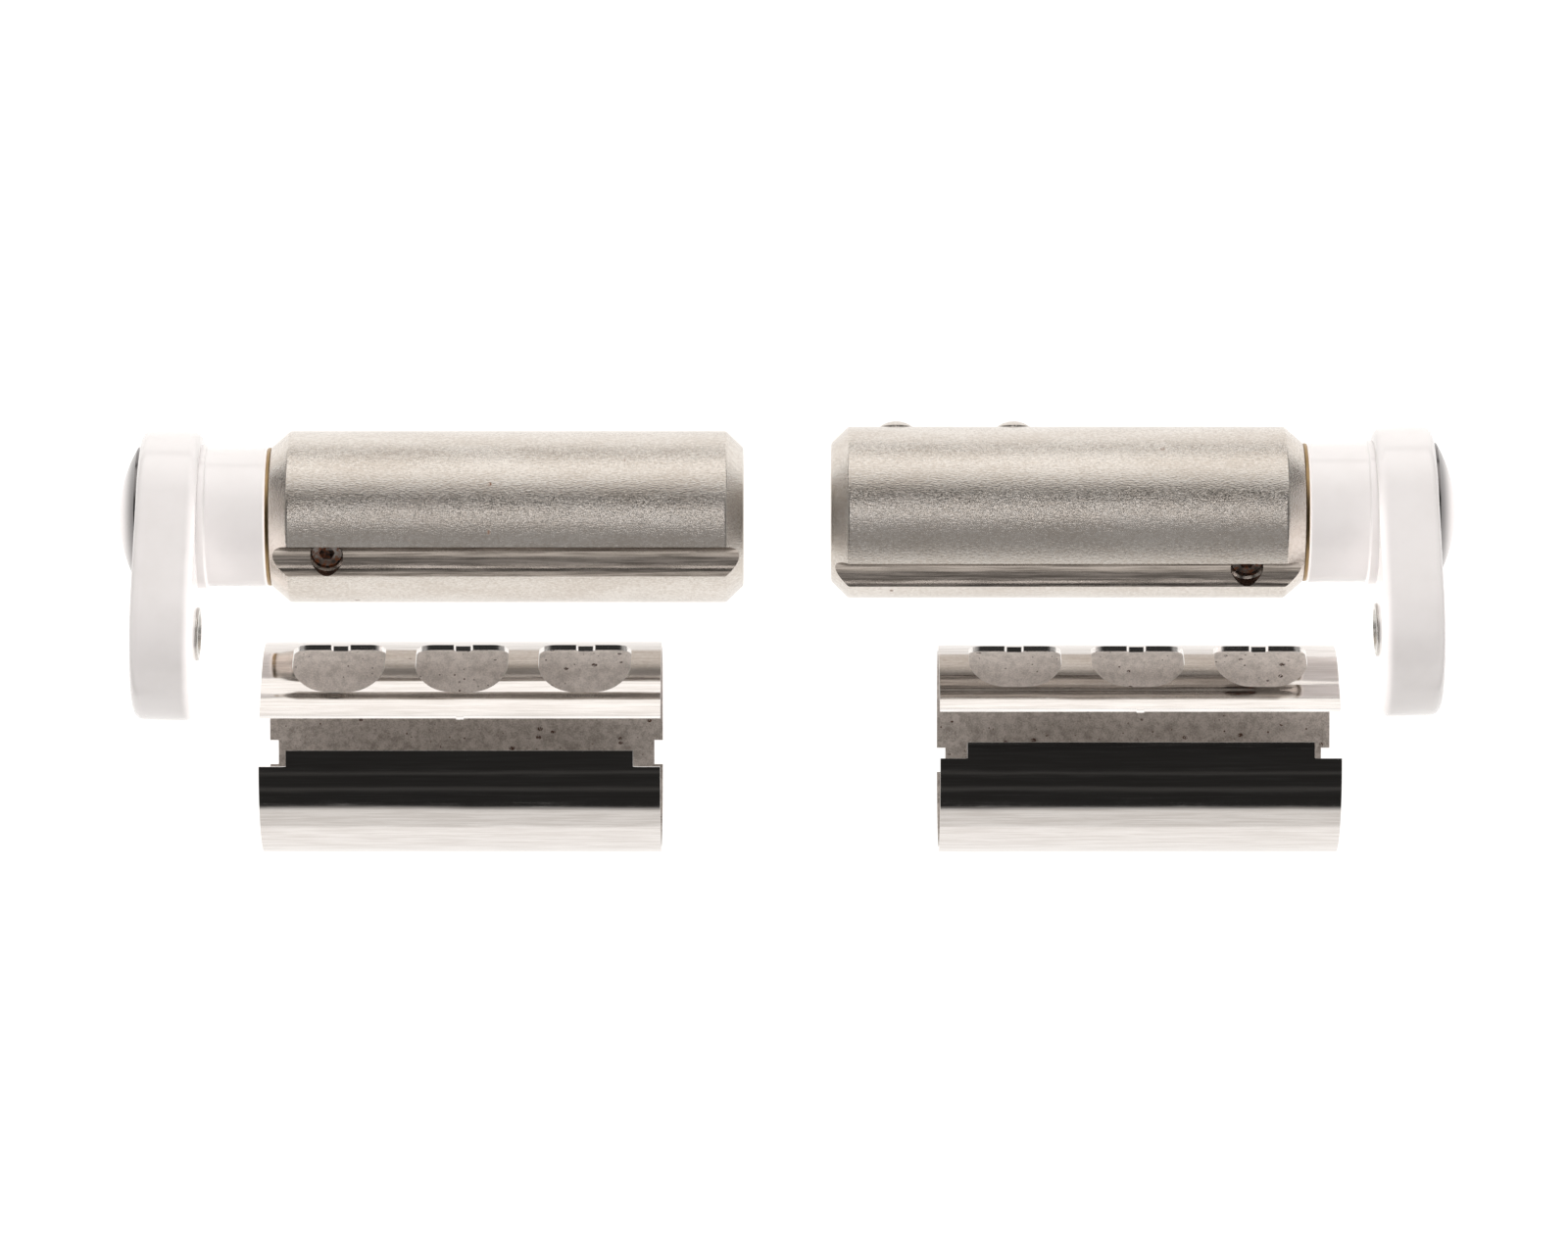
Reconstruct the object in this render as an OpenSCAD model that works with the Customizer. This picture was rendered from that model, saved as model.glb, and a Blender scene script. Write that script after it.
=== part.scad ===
// Damped door hinge set: a left and a right barrel hinge with swinging arms, and the two
// spring sleeves that clip round the barrels. Millimetres, +Z up, all laid out on z = 0.
// X runs along the hinge line and +Y is the side that the barrels lie on.

/* [Barrel] */
// Outside diameter of the barrel
barrel_d = 16; // [15:0.5:18]
// Length of the barrel
barrel_len = 44.1; // [42:0.1:48]
// Bore of the barrel
barrel_bore_d = 11.8; // [11.6:0.1:12.4]
// Length of the chamfer at the inner end
inner_chamfer_len = 1.6; // [0.5:0.1:2.5]
// Length of the chamfer at the arm end
arm_chamfer_len = 1.8; // [0.5:0.1:2.5]
// Depth of both chamfers
chamfer_depth = 1.55; // [0.5:0.05:1.6]

/* [Keyway] */
// Width of the keyway at the surface
keyway_w = 3.3; // [2.6:0.1:3.8]
// Depth of the keyway
keyway_depth = 1.2; // [0.8:0.1:1.3]
// Keyway of the left barrel, in degrees from +Y towards +Z
left_keyway_deg = 123.2; // [110:0.1:150]
// Keyway of the right barrel, in degrees from +Y towards +Z
right_keyway_deg = 139.4; // [110:0.1:150]
// Diameter of the screw hole in the keyway
screw_hole_d = 2.86; // [2.6:0.02:3]
// Screw hole's distance from the arm end
screw_from_arm_end = 5.45; // [5.2:0.05:5.8]

/* [Rivets] */
// Diameter of a rivet head
rivet_head_d = 3.4; // [3:0.1:4]
// Height of a rivet head over the barrel
rivet_head_h = 0.65; // [0.3:0.05:0.9]
// Distances of the two rivets from the inner end
rivet_from_inner_end = [6.1, 17.1];
// Angle from the keyway to the row of rivets
rivet_row_deg = 150; // [140:1:160]

/* [Arm] */
// Radius of the arm's head, round the hinge line
arm_head_r = 8; // [7.5:0.1:8.4]
// Radius of the arm's free end
arm_lobe_r = 9.4; // [8.5:0.1:10]
// Distance from the hinge line to the free end's centre
arm_reach = 9.8; // [9:0.1:12]
// Thickness of the arm's plate
arm_t = 5.6; // [5:0.1:6.5]
// Crown on the arm's outer face
arm_crown = 0.25; // [0.1:0.05:0.4]
// How far the plate leans outwards from square, in degrees
arm_lean = 1.6; // [0:0.1:3]
// Diameter of the arm's boss
boss_d = 13.1; // [12:0.1:13.6]
// Length of the boss
boss_len = 6.28; // [5.5:0.02:8]
// Distance from the hinge line to the threaded insert
insert_reach = 11.1; // [10.5:0.1:13]
// Tapping diameter of the insert, for M4
insert_bore_d = 3.3; // [2.5:0.1:3.4]
// Length of the insert's body
insert_len = 5; // [4:0.1:5.2]

/* [Domed cap] */
// Diameter of the cap
cap_d = 13; // [10:0.5:13]
// Height of the cap's dome
cap_h = 2; // [1.2:0.1:3]

/* [Shaft and damper] */
// Shaft diameter in the front bush
shaft_d = 7; // [6.6:0.1:7]
// Diameter of the shaft's rotor seat
rotor_seat_d = 5; // [4.6:0.1:5]
// Diameter of the shaft's rear journal
journal_d = 4; // [3:0.1:4.2]
// Bore of the damper's stator
stator_bore_d = 9.2; // [9:0.1:9.4]
// Outside diameter of the rotor's hub
rotor_hub_d = 6.4; // [6:0.1:6.6]
// Angle of swing between the stops
swing_deg = 110; // [80:1:115]
// Width of one rotor vane in degrees
vane_deg = 30; // [20:1:32]
// Radial clearance of a running fit
running_gap = 0.05; // [0.01:0.01:0.1]
// Radial clearance of a fixed fit
fixed_gap = 0.02; // [0.01:0.01:0.04]

/* [Spring sleeve] */
// Length of the sleeve
sleeve_len = 37.1; // [34:0.1:42]
// Thickness of the sheet
sheet_t = 0.5; // [0.4:0.05:0.7]
// Outside radius of the bulged back
back_r = 10.4; // [10:0.1:10.8]
// How far the bulged back stands from the bore's axis
back_reach = 11.17; // [10.9:0.01:11.4]
// Where the bulge starts, from the bore's axis towards the back
crease_y = 6.5; // [6:0.1:7]
// Outside radius of the rounded lower corner
corner_r = 4.4; // [4:0.1:5]
// Slot's first edge, in degrees from the top towards the back
slot_start_deg = 7.6; // [5:0.1:10]
// Angle of the slot
slot_deg = 23; // [18:1:26]
// Length of the notches at the slot's ends
notch_len = 2.5; // [1.5:0.1:4]
// Angle of the notches at the slot's ends
notch_deg = 10.2; // [6:0.1:14]
// Width of a window
window_w = 8.6; // [7:0.1:9.5]
// Distance between windows
window_pitch = 11.45; // [10.5:0.05:12]
// Corner radius of a window at the crease
window_front_r = 3.4; // [2:0.1:4]
// Corner radius of a window at the back
window_back_r = 1.6; // [1:0.1:2.4]
// Where a window ends, in degrees from the top round the bulged back
window_foot_deg = 76; // [68:1:80]
// Width of the small tab on a window's far edge
window_tab_w = 1.7; // [1:0.1:2.5]
// Height of that tab
window_tab_h = 0.45; // [0.1:0.05:0.8]

/* [Layout] */
// Gap between the two barrels
barrel_gap = 8.2; // [2:0.1:20]
// How far each hinge stands off the common line
hinge_stagger = 0.21; // [0:0.01:0.3]
// Distance from the hinge line to the sleeves' axis
sleeve_setback = 23.08; // [21:0.01:26]
// Middle of the left sleeve along X
left_sleeve_x = -30.3; // [-32:0.1:-25]
// Middle of the right sleeve along X
right_sleeve_x = 32.7; // [25:0.1:34]
// Roll of the right sleeve towards the back
right_sleeve_roll = 5.3; // [0:0.1:7]

/* [Hidden] */

$fn = 96;
LEFT = -1;
RIGHT = 1;
over = 1;

barrel_r = barrel_d / 2;
bore_r = barrel_bore_d / 2;
fixed_r = bore_r - fixed_gap;
shaft_r = shaft_d / 2;
stator_r = stator_bore_d / 2;
hub_r = rotor_hub_d / 2;
seat_r = rotor_seat_d / 2;

// The keyway is a round groove: its cutter's radius and how far out its axis lies
keyway_r = (pow(keyway_w / 2, 2) + pow(keyway_depth, 2)) / (2 * keyway_depth);
keyway_axis = barrel_r - keyway_depth + keyway_r;
screw_at = barrel_len - screw_from_arm_end;

// Stations along the hinge line, measured from the barrel's inner end
plug_start = 0.5;
plug_end = 9;
stator_end = 31.8;
rotor_start = 9.4;
rotor_end = 31.3;
clip_start = 32.25;
clip_t = 0.6;
bush_start = 33.1;
bush_end = barrel_len - 0.5;
washer_t = 0.28;
boss_start = barrel_len + washer_t + 0.04;
arm_start = boss_start + boss_len;
arm_end = arm_start + arm_t;

// Both sides of the arm are tangents of its two rounds, so one side lies level on z = 0
arm_taper = asin((arm_lobe_r - arm_head_r) / arm_reach);
arm_deg = 180 - arm_taper;
arm_edge_r = 0.9;
arm_fn = 48;

rivet_r = 1;
rivet_tip = 4.9;
rivet_dome_r = (pow(rivet_head_d / 2, 2) + pow(rivet_head_h, 2)) / (2 * rivet_head_h);
rivet_dome_axis = barrel_r + rivet_head_h - rivet_dome_r;

cap_r = cap_d / 2;
cap_dome_r = (cap_r * cap_r + cap_h * cap_h) / (2 * cap_h);
spigot_r = 2.2;
spigot_len = 1;
flat_to_radius = 0.83;

stop_margin = 2.5;
dam_deg = 180 - vane_deg - swing_deg - 2 * stop_margin;
dam_centre = vane_deg / 2 + stop_margin + dam_deg / 2;

shaft_gland = [35.2, 36.9];
shaft_gland_r = 4.92;
shaft_seal_r = (shaft_gland_r - shaft_r) / 2 - 0.03;
bush_gland = [40.9, 42.3];
bush_gland_r = 4.85;
bush_seal_r = (fixed_r - bush_gland_r) / 2 - 0.01;

insert_r = 2.2;
insert_flange_r = 2.5;
insert_flange_t = 0.25;

sleeve_r = barrel_r + sheet_t;
back_axis_y = back_reach - back_r;
back_axis_z = sqrt(pow(sleeve_r, 2) - pow(crease_y, 2))
    - sqrt(pow(back_r, 2) - pow(crease_y - back_axis_y, 2));
corner_axis_y = back_reach - corner_r;
// Slope of the straight stretch between the bore's round and the lower corner
base_deg = asin((sleeve_r - corner_r) / norm([corner_axis_y, back_axis_z]))
    - atan2(-back_axis_z, corner_axis_y);
window_top = [crease_y, sqrt(pow(sleeve_r, 2) - pow(crease_y, 2))];
window_foot = [back_axis_y, back_axis_z] + on_circle(back_r, 90 - window_foot_deg);
window_chord = norm(window_top - window_foot);
window_deg = atan2(window_foot[0] - window_top[0], window_top[1] - window_foot[1]);
nick_len = 0.8;

// The origin is the middle of the set's footprint
rivets_reach = hinge_stagger + rivet_dome_r
    + rivet_dome_axis * cos(right_keyway_deg - rivet_row_deg);
hinge_y = (sleeve_setback + sleeve_r - rivets_reach) / 2;

function keyway_deg(side) = side == LEFT ? left_keyway_deg : right_keyway_deg;
function on_circle(r, deg) = [r * cos(deg), r * sin(deg)];

// ---- helpers: shapes along X ----

module cyl_x(r, x0, x1) {
    translate([x0, 0, 0]) rotate([0, 90, 0]) cylinder(r = r, h = x1 - x0);
}

module cone_x(r0, r1, x0, x1) {
    translate([x0, 0, 0]) rotate([0, 90, 0]) cylinder(r1 = r0, r2 = r1, h = x1 - x0);
}

// A drawing in the YZ plane, carried from x0 to x1
module prism_x(x0, x1) {
    translate([x0, 0, 0]) rotate([90, 0, 90]) linear_extrude(x1 - x0) children();
}

// A pin that points out from the hinge line at an angle, at a station
module radial(r, from_r, to_r, at, deg) {
    translate([at, 0, 0]) rotate([deg - 90, 0, 0]) translate([0, 0, from_r])
        cylinder(r = r, h = to_r - from_r);
}

module ring_x(section_r, ring_r, at) {
    translate([at, 0, 0]) rotate([0, 90, 0]) rotate_extrude()
        translate([ring_r, 0]) circle(r = section_r, $fn = 32);
}

// Flat wedge between two angles that are less than 180 degrees apart
module wedge(reach, deg0, deg1) {
    mid = (deg0 + deg1) / 2;
    polygon([[0, 0], on_circle(reach, deg0), on_circle(2 * reach, mid), on_circle(reach, deg1)]);
}

module ring_sector(r_in, r_out, deg0, deg1) {
    intersection() {
        difference() {
            circle(r = r_out);
            circle(r = r_in);
        }
        wedge(4 * r_out, deg0, deg1);
    }
}

// A round with two flats, as a shaft's driving section
module double_d(r) {
    intersection() {
        circle(r = r);
        square([2 * r * flat_to_radius, 3 * r], center = true);
    }
}

// Puts a hinge made along +X from its barrel's inner end in its place
module on_hinge(side) {
    translate([0, hinge_y + side * hinge_stagger, barrel_r])
        mirror([side == LEFT ? 1 : 0, 0, 0])
            translate([barrel_gap / 2, 0, 0])
                children();
}

// ---- the barrel and what is fixed in it ----

module barrel(side) {
    keyway = keyway_deg(side);
    color([0.74, 0.72, 0.69]) on_hinge(side) difference() {
        union() {
            cone_x(barrel_r - chamfer_depth, barrel_r, 0, inner_chamfer_len);
            cyl_x(barrel_r, inner_chamfer_len, barrel_len - arm_chamfer_len);
            cone_x(barrel_r, barrel_r - chamfer_depth, barrel_len - arm_chamfer_len, barrel_len);
        }
        cyl_x(bore_r, -over, barrel_len + over);
        rotate([keyway, 0, 0]) translate([0, keyway_axis, 0])
            cyl_x(keyway_r, -over, barrel_len + over);
        radial(screw_hole_d / 2, bore_r - over, barrel_r + over, screw_at, keyway);
        for (at = rivet_from_inner_end)
            radial(rivet_r + fixed_gap, bore_r - over, barrel_r + over, at, keyway - rivet_row_deg);
    }
}

module end_plug(side) {
    color([0.62, 0.6, 0.57]) on_hinge(side) difference() {
        union() {
            cone_x(fixed_r - 0.4, fixed_r, plug_start, plug_start + 0.4);
            cyl_x(fixed_r, plug_start + 0.4, plug_end);
        }
        cyl_x(2, plug_start - over, plug_start + 0.8);
        cyl_x(journal_d / 2 + running_gap, plug_end - 2.8, plug_end + over);
        radial(rivet_r + fixed_gap, rivet_tip - 0.1, barrel_r, rivet_from_inner_end[0],
            keyway_deg(side) - rivet_row_deg);
    }
}

module rivets(side) {
    color([0.78, 0.77, 0.74]) on_hinge(side) for (at = rivet_from_inner_end)
        rivet(at, keyway_deg(side) - rivet_row_deg);
}

module rivet(at, deg) {
    radial(rivet_r, rivet_tip, barrel_r + 0.2, at, deg);
    difference() {
        translate([at, 0, 0]) rotate([deg, 0, 0]) translate([0, rivet_dome_axis, 0])
            sphere(r = rivet_dome_r);
        cyl_x(barrel_r, at - 2 * rivet_dome_r, at + 2 * rivet_dome_r);
    }
}

// Fixed half of the damper: a liner with two dams that the vanes stop against
module stator(side) {
    color([0.55, 0.55, 0.58]) on_hinge(side) difference() {
        prism_x(plug_end + 0.05, stator_end) union() {
            difference() {
                circle(r = fixed_r);
                circle(r = stator_r);
            }
            for (turn = [0, 180]) {
                centre = arm_deg + dam_centre + turn;
                ring_sector(hub_r + running_gap, stator_r + 0.3,
                    centre - dam_deg / 2, centre + dam_deg / 2);
            }
        }
        radial(rivet_r + fixed_gap, rivet_tip - 0.1, barrel_r, rivet_from_inner_end[1],
            keyway_deg(side) - rivet_row_deg);
    }
}

module front_bush(side) {
    color([0.72, 0.6, 0.36]) on_hinge(side) difference() {
        cyl_x(fixed_r, bush_start, bush_end);
        cyl_x(shaft_r + running_gap, bush_start - over, bush_end + over);
        cyl_x(shaft_gland_r, shaft_gland[0], shaft_gland[1]);
        difference() {
            cyl_x(barrel_r, bush_gland[0], bush_gland[1]);
            cyl_x(bush_gland_r, bush_gland[0] - over, bush_gland[1] + over);
        }
        radial(screw_hole_d / 2, rivet_tip - 0.3, barrel_r, screw_at, keyway_deg(side));
    }
}

module shaft_seal(side) {
    color([0.1, 0.1, 0.1]) on_hinge(side) ring_x(shaft_seal_r,
        shaft_r + 0.04 + shaft_seal_r, (shaft_gland[0] + shaft_gland[1]) / 2);
}

module bush_seal(side) {
    color([0.1, 0.1, 0.1]) on_hinge(side) ring_x(bush_seal_r,
        bush_gland_r + 0.01 + bush_seal_r, (bush_gland[0] + bush_gland[1]) / 2);
}

module retaining_screw(side) {
    deg = keyway_deg(side);
    color([0.3, 0.26, 0.24]) on_hinge(side) difference() {
        radial(screw_hole_d / 2 - 0.04, rivet_tip - 0.25, barrel_r - keyway_depth - 0.45,
            screw_at, deg);
        translate([screw_at, 0, 0]) rotate([deg - 90, 0, 0])
            translate([0, 0, barrel_r - keyway_depth - 1.2]) cylinder(r = 0.75, h = 2, $fn = 6);
    }
}

module thrust_washer(side) {
    color([0.72, 0.58, 0.34]) on_hinge(side) prism_x(barrel_len, barrel_len + washer_t)
        difference() {
            circle(r = boss_d / 2 - 0.1);
            circle(r = shaft_r + 2 * running_gap);
        }
}

// ---- the arm and what turns with it ----

module shaft(side) {
    color([0.66, 0.66, 0.67]) on_hinge(side) rotate([arm_deg, 0, 0]) difference() {
        union() {
            cyl_x(journal_d / 2, plug_end - 2.6, rotor_start);
            cyl_x(seat_r, rotor_start - 0.2, rotor_end + 1);
            cyl_x(shaft_r, stator_end + 0.1, arm_end);
            cyl_x(spigot_r, arm_end - 1, arm_end + spigot_len);
        }
        flats(seat_r, rotor_start - over, rotor_end + 0.2);
        flats(shaft_r, arm_start, arm_end + over);
        difference() {
            cyl_x(barrel_r, clip_start - 0.04, clip_start + clip_t + 0.04);
            cyl_x(shaft_r - 0.5, clip_start - over, clip_start + clip_t + over);
        }
    }
}

// What is milled off a shaft to leave its double-D section
module flats(r, x0, x1) {
    for (s = [-1, 1])
        translate([x0, s * (r * flat_to_radius + r) - r, -2 * r]) cube([x1 - x0, 2 * r, 4 * r]);
}

// Turning half of the damper: a hub with two vanes, keyed on the shaft
module rotor(side) {
    color([0.8, 0.8, 0.76]) on_hinge(side) rotate([arm_deg, 0, 0])
        prism_x(rotor_start, rotor_end) difference() {
            union() {
                circle(r = hub_r);
                for (turn = [0, 180])
                    ring_sector(hub_r - 0.3, stator_r - running_gap,
                        turn - vane_deg / 2, turn + vane_deg / 2);
            }
            double_d(seat_r + fixed_gap);
        }
}

// Open ring in the shaft's groove, which keeps the shaft behind the bush
module retaining_clip(side) {
    half_gap = 35;
    color([0.25, 0.25, 0.27]) on_hinge(side) rotate([arm_deg, 0, 0])
        prism_x(clip_start, clip_start + clip_t) difference() {
            circle(r = stator_r - 0.15);
            circle(r = shaft_r - 0.5 + fixed_gap);
            wedge(4 * stator_r, -half_gap, half_gap);
        }
}

// One round end of the arm's plate, with softened edges and a crowned outer face
module plate_end(r) {
    rotate([0, 90, 0]) rotate_extrude($fn = arm_fn) polygon([
        [0, 0],
        [r - arm_edge_r, 0],
        [r - 0.35 * arm_edge_r, 0.3 * arm_edge_r],
        [r, arm_edge_r],
        [r, arm_t - 1.2 * arm_edge_r],
        [r - 0.45 * arm_edge_r, arm_t - 0.4 * arm_edge_r],
        [r - 1.5 * arm_edge_r, arm_t + 0.04],
        [r - 5 * arm_edge_r, arm_t + arm_crown],
        [0, arm_t + arm_crown]]);
}

// Leans the plate, and what is set square in it, outwards about the hinge line
module leaned() {
    translate([arm_start, 0, 0]) rotate([arm_deg, 0, 0]) rotate([0, 0, -arm_lean])
        rotate([-arm_deg, 0, 0]) translate([-arm_start, 0, 0]) children();
}

module arm(side) {
    color([0.93, 0.92, 0.9]) on_hinge(side) difference() {
        union() {
            leaned() translate([arm_start, 0, 0]) hull() {
                plate_end(arm_head_r);
                translate([0, arm_reach * cos(arm_deg), arm_reach * sin(arm_deg)])
                    plate_end(arm_lobe_r);
            }
            cyl_x(boss_d / 2, boss_start, arm_start + 1);
            cyl_x(boss_d / 2 + 0.2, arm_start - 0.8, arm_start + 1);
        }
        cyl_x(cap_r + 0.1, arm_end, arm_end + over);
        cyl_x(shaft_r + fixed_gap, boss_start - over, arm_start);
        rotate([arm_deg, 0, 0]) prism_x(arm_start - 0.02, arm_end + over)
            double_d(shaft_r + 2 * fixed_gap);
        leaned() rotate([arm_deg, 0, 0]) translate([0, insert_reach, 0])
            cyl_x(insert_r + fixed_gap, arm_start - over, arm_start + insert_len + 0.1);
    }
}

// Flanged insert pressed in the arm's inner face, tapped for the fixing screw
module arm_insert(side) {
    color([0.68, 0.67, 0.64]) on_hinge(side) leaned() rotate([arm_deg, 0, 0])
        translate([0, insert_reach, 0]) difference() {
            union() {
                cyl_x(insert_flange_r, arm_start - insert_flange_t, arm_start);
                cyl_x(insert_r, arm_start - 0.1, arm_start + insert_len);
            }
            cyl_x(insert_bore_d / 2, arm_start - over, arm_start + insert_len + over);
        }
}

module domed_cap(side) {
    color([0.5, 0.48, 0.49]) on_hinge(side)
        translate([arm_end, 0, 0]) rotate([0, 90, 0]) rotate_extrude() difference() {
            intersection() {
                translate([0, cap_h - cap_dome_r]) circle(r = cap_dome_r);
                square([cap_r + over, cap_h + over]);
            }
            translate([-over, -over]) square([over + spigot_r + fixed_gap, over + spigot_len + 0.05]);
        }
}

// ---- the spring sleeve ----

// Outline of the sleeve's section, drawn in by a depth from the outer face
module sleeve_outline(inset) {
    circle(r = sleeve_r - inset);
    translate([corner_axis_y, back_axis_z]) circle(r = corner_r - inset);
    intersection() {
        translate([back_axis_y, back_axis_z]) circle(r = back_r - inset);
        translate([0, back_axis_z]) square([2 * back_r, 2 * back_r]);
    }
    polygon([
        [0, 0],
        on_circle(sleeve_r - inset, base_deg - 90),
        [corner_axis_y, back_axis_z] + on_circle(corner_r - inset, base_deg - 90),
        [corner_axis_y, back_axis_z]]);
}

module window_outline() {
    w = window_w;
    h = window_chord;
    front = window_front_r;
    back = window_back_r;
    difference() {
        union() {
            translate([-w / 2, back - h / 2]) square([w, h - back - front]);
            translate([back - w / 2, -h / 2]) square([w - 2 * back, h / 2]);
            translate([front - w / 2, 0]) square([w - 2 * front, h / 2]);
            for (s = [-1, 1]) {
                translate([s * (w / 2 - back), back - h / 2]) circle(r = back);
                translate([s * (w / 2 - front), h / 2 - front]) circle(r = front);
            }
        }
        translate([0, -h / 2]) polygon([
            [-window_tab_w / 2 - window_tab_h, -over],
            [window_tab_w / 2 + window_tab_h, -over],
            [window_tab_w / 2 + window_tab_h, 0],
            [window_tab_w / 2, window_tab_h],
            [-window_tab_w / 2, window_tab_h],
            [-window_tab_w / 2 - window_tab_h, 0]]);
    }
}

module sleeve(middle_x, roll) {
    slot_first = 90 - slot_start_deg;
    middle = (window_top + window_foot) / 2;
    cut_back = 4;
    color([0.8, 0.79, 0.77])
    translate([middle_x, hinge_y - sleeve_setback, sleeve_r]) rotate([-roll, 0, 0])
    difference() {
        prism_x(-sleeve_len / 2, sleeve_len / 2) difference() {
            sleeve_outline(0);
            sleeve_outline(sheet_t);
            wedge(3 * sleeve_r, slot_first - slot_deg, slot_first);
        }
        for (end = [-1, 1]) {
            notch_x = end * (sleeve_len / 2 - notch_len / 2 + 0.5);
            prism_x(notch_x - notch_len / 2 - 0.5, notch_x + notch_len / 2 + 0.5)
                wedge(3 * sleeve_r, slot_first - 1, slot_first + notch_deg);
            nick_x = end * sleeve_len / 2;
            prism_x(nick_x - nick_len, nick_x + nick_len) wedge(3 * sleeve_r, -93, -77);
        }
        for (i = [-1, 0, 1])
            translate([i * window_pitch, middle[0], middle[1]])
                rotate([90 - window_deg, 0, 0]) translate([0, -cut_back, 0])
                    rotate([90, 0, 0]) mirror([0, 0, 1])
                        linear_extrude(2 * cut_back) window_outline();
    }
}

barrel(LEFT);  // left_barrel
end_plug(LEFT);  // left_end_plug
rivets(LEFT);  // left_rivets
stator(LEFT);  // left_stator
rotor(LEFT);  // left_rotor
shaft(LEFT);  // left_shaft
retaining_clip(LEFT);  // left_retaining_clip
shaft_seal(LEFT);  // left_shaft_seal
bush_seal(LEFT);  // left_bush_seal
front_bush(LEFT);  // left_front_bush
retaining_screw(LEFT);  // left_retaining_screw
thrust_washer(LEFT);  // left_thrust_washer
arm(LEFT);  // left_arm
arm_insert(LEFT);  // left_arm_insert
domed_cap(LEFT);  // left_domed_cap
barrel(RIGHT);  // right_barrel
end_plug(RIGHT);  // right_end_plug
rivets(RIGHT);  // right_rivets
stator(RIGHT);  // right_stator
rotor(RIGHT);  // right_rotor
shaft(RIGHT);  // right_shaft
retaining_clip(RIGHT);  // right_retaining_clip
shaft_seal(RIGHT);  // right_shaft_seal
bush_seal(RIGHT);  // right_bush_seal
front_bush(RIGHT);  // right_front_bush
retaining_screw(RIGHT);  // right_retaining_screw
thrust_washer(RIGHT);  // right_thrust_washer
arm(RIGHT);  // right_arm
arm_insert(RIGHT);  // right_arm_insert
domed_cap(RIGHT);  // right_domed_cap
sleeve(left_sleeve_x, 0);  // left_sleeve
sleeve(right_sleeve_x, right_sleeve_roll);  // right_sleeve
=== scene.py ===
"""Looks of a damped door hinge set: two barrel hinges with white arms and two spring sleeves.

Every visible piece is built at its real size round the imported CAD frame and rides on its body.
Sizes inside the classes are in millimetres, and MM turns them into Blender's metres.
"""

import logging
import math
from dataclasses import dataclass, field
from enum import Enum
from typing import Iterable, Sequence

import bmesh
import bpy
from mathutils import Matrix, Vector


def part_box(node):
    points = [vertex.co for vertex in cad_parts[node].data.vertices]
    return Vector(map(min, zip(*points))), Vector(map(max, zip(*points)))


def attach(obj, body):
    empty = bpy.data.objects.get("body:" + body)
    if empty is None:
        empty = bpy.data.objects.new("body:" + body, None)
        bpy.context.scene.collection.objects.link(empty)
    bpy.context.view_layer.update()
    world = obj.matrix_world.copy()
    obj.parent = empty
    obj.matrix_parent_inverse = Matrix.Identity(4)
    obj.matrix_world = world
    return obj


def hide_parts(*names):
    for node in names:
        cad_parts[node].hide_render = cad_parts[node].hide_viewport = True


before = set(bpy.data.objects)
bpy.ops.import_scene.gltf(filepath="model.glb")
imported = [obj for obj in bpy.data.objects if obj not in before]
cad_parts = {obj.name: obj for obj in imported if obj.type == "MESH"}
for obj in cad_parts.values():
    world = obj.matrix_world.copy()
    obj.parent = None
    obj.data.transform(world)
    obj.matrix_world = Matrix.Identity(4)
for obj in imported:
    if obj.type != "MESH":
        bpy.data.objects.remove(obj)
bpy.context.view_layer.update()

MM = 0.001
MERGE = 0.0002 * MM
SMOOTH_DEG = 32.0
log = logging.getLogger("hinge_set")

Colour = tuple[float, float, float]
Point = tuple[float, float]


class Side(Enum):
    """Which hinge of the pair, and the sign of its outward direction along X."""

    LEFT = -1
    RIGHT = 1

    @property
    def word(self) -> str:
        """The prefix of this side's node names."""
        return self.name.lower()


class Cutting(Enum):
    """What tools do to a body, by the Boolean modifier's names."""

    ADD = "UNION"
    REMOVE = "DIFFERENCE"


class Layer(Enum):
    """The sheet's surfaces, in the order of a sleeve's material slots."""

    OUTSIDE = 0
    INSIDE = 1
    EDGE = 2


# ---------------------------------------------------------------- shader maths


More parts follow.
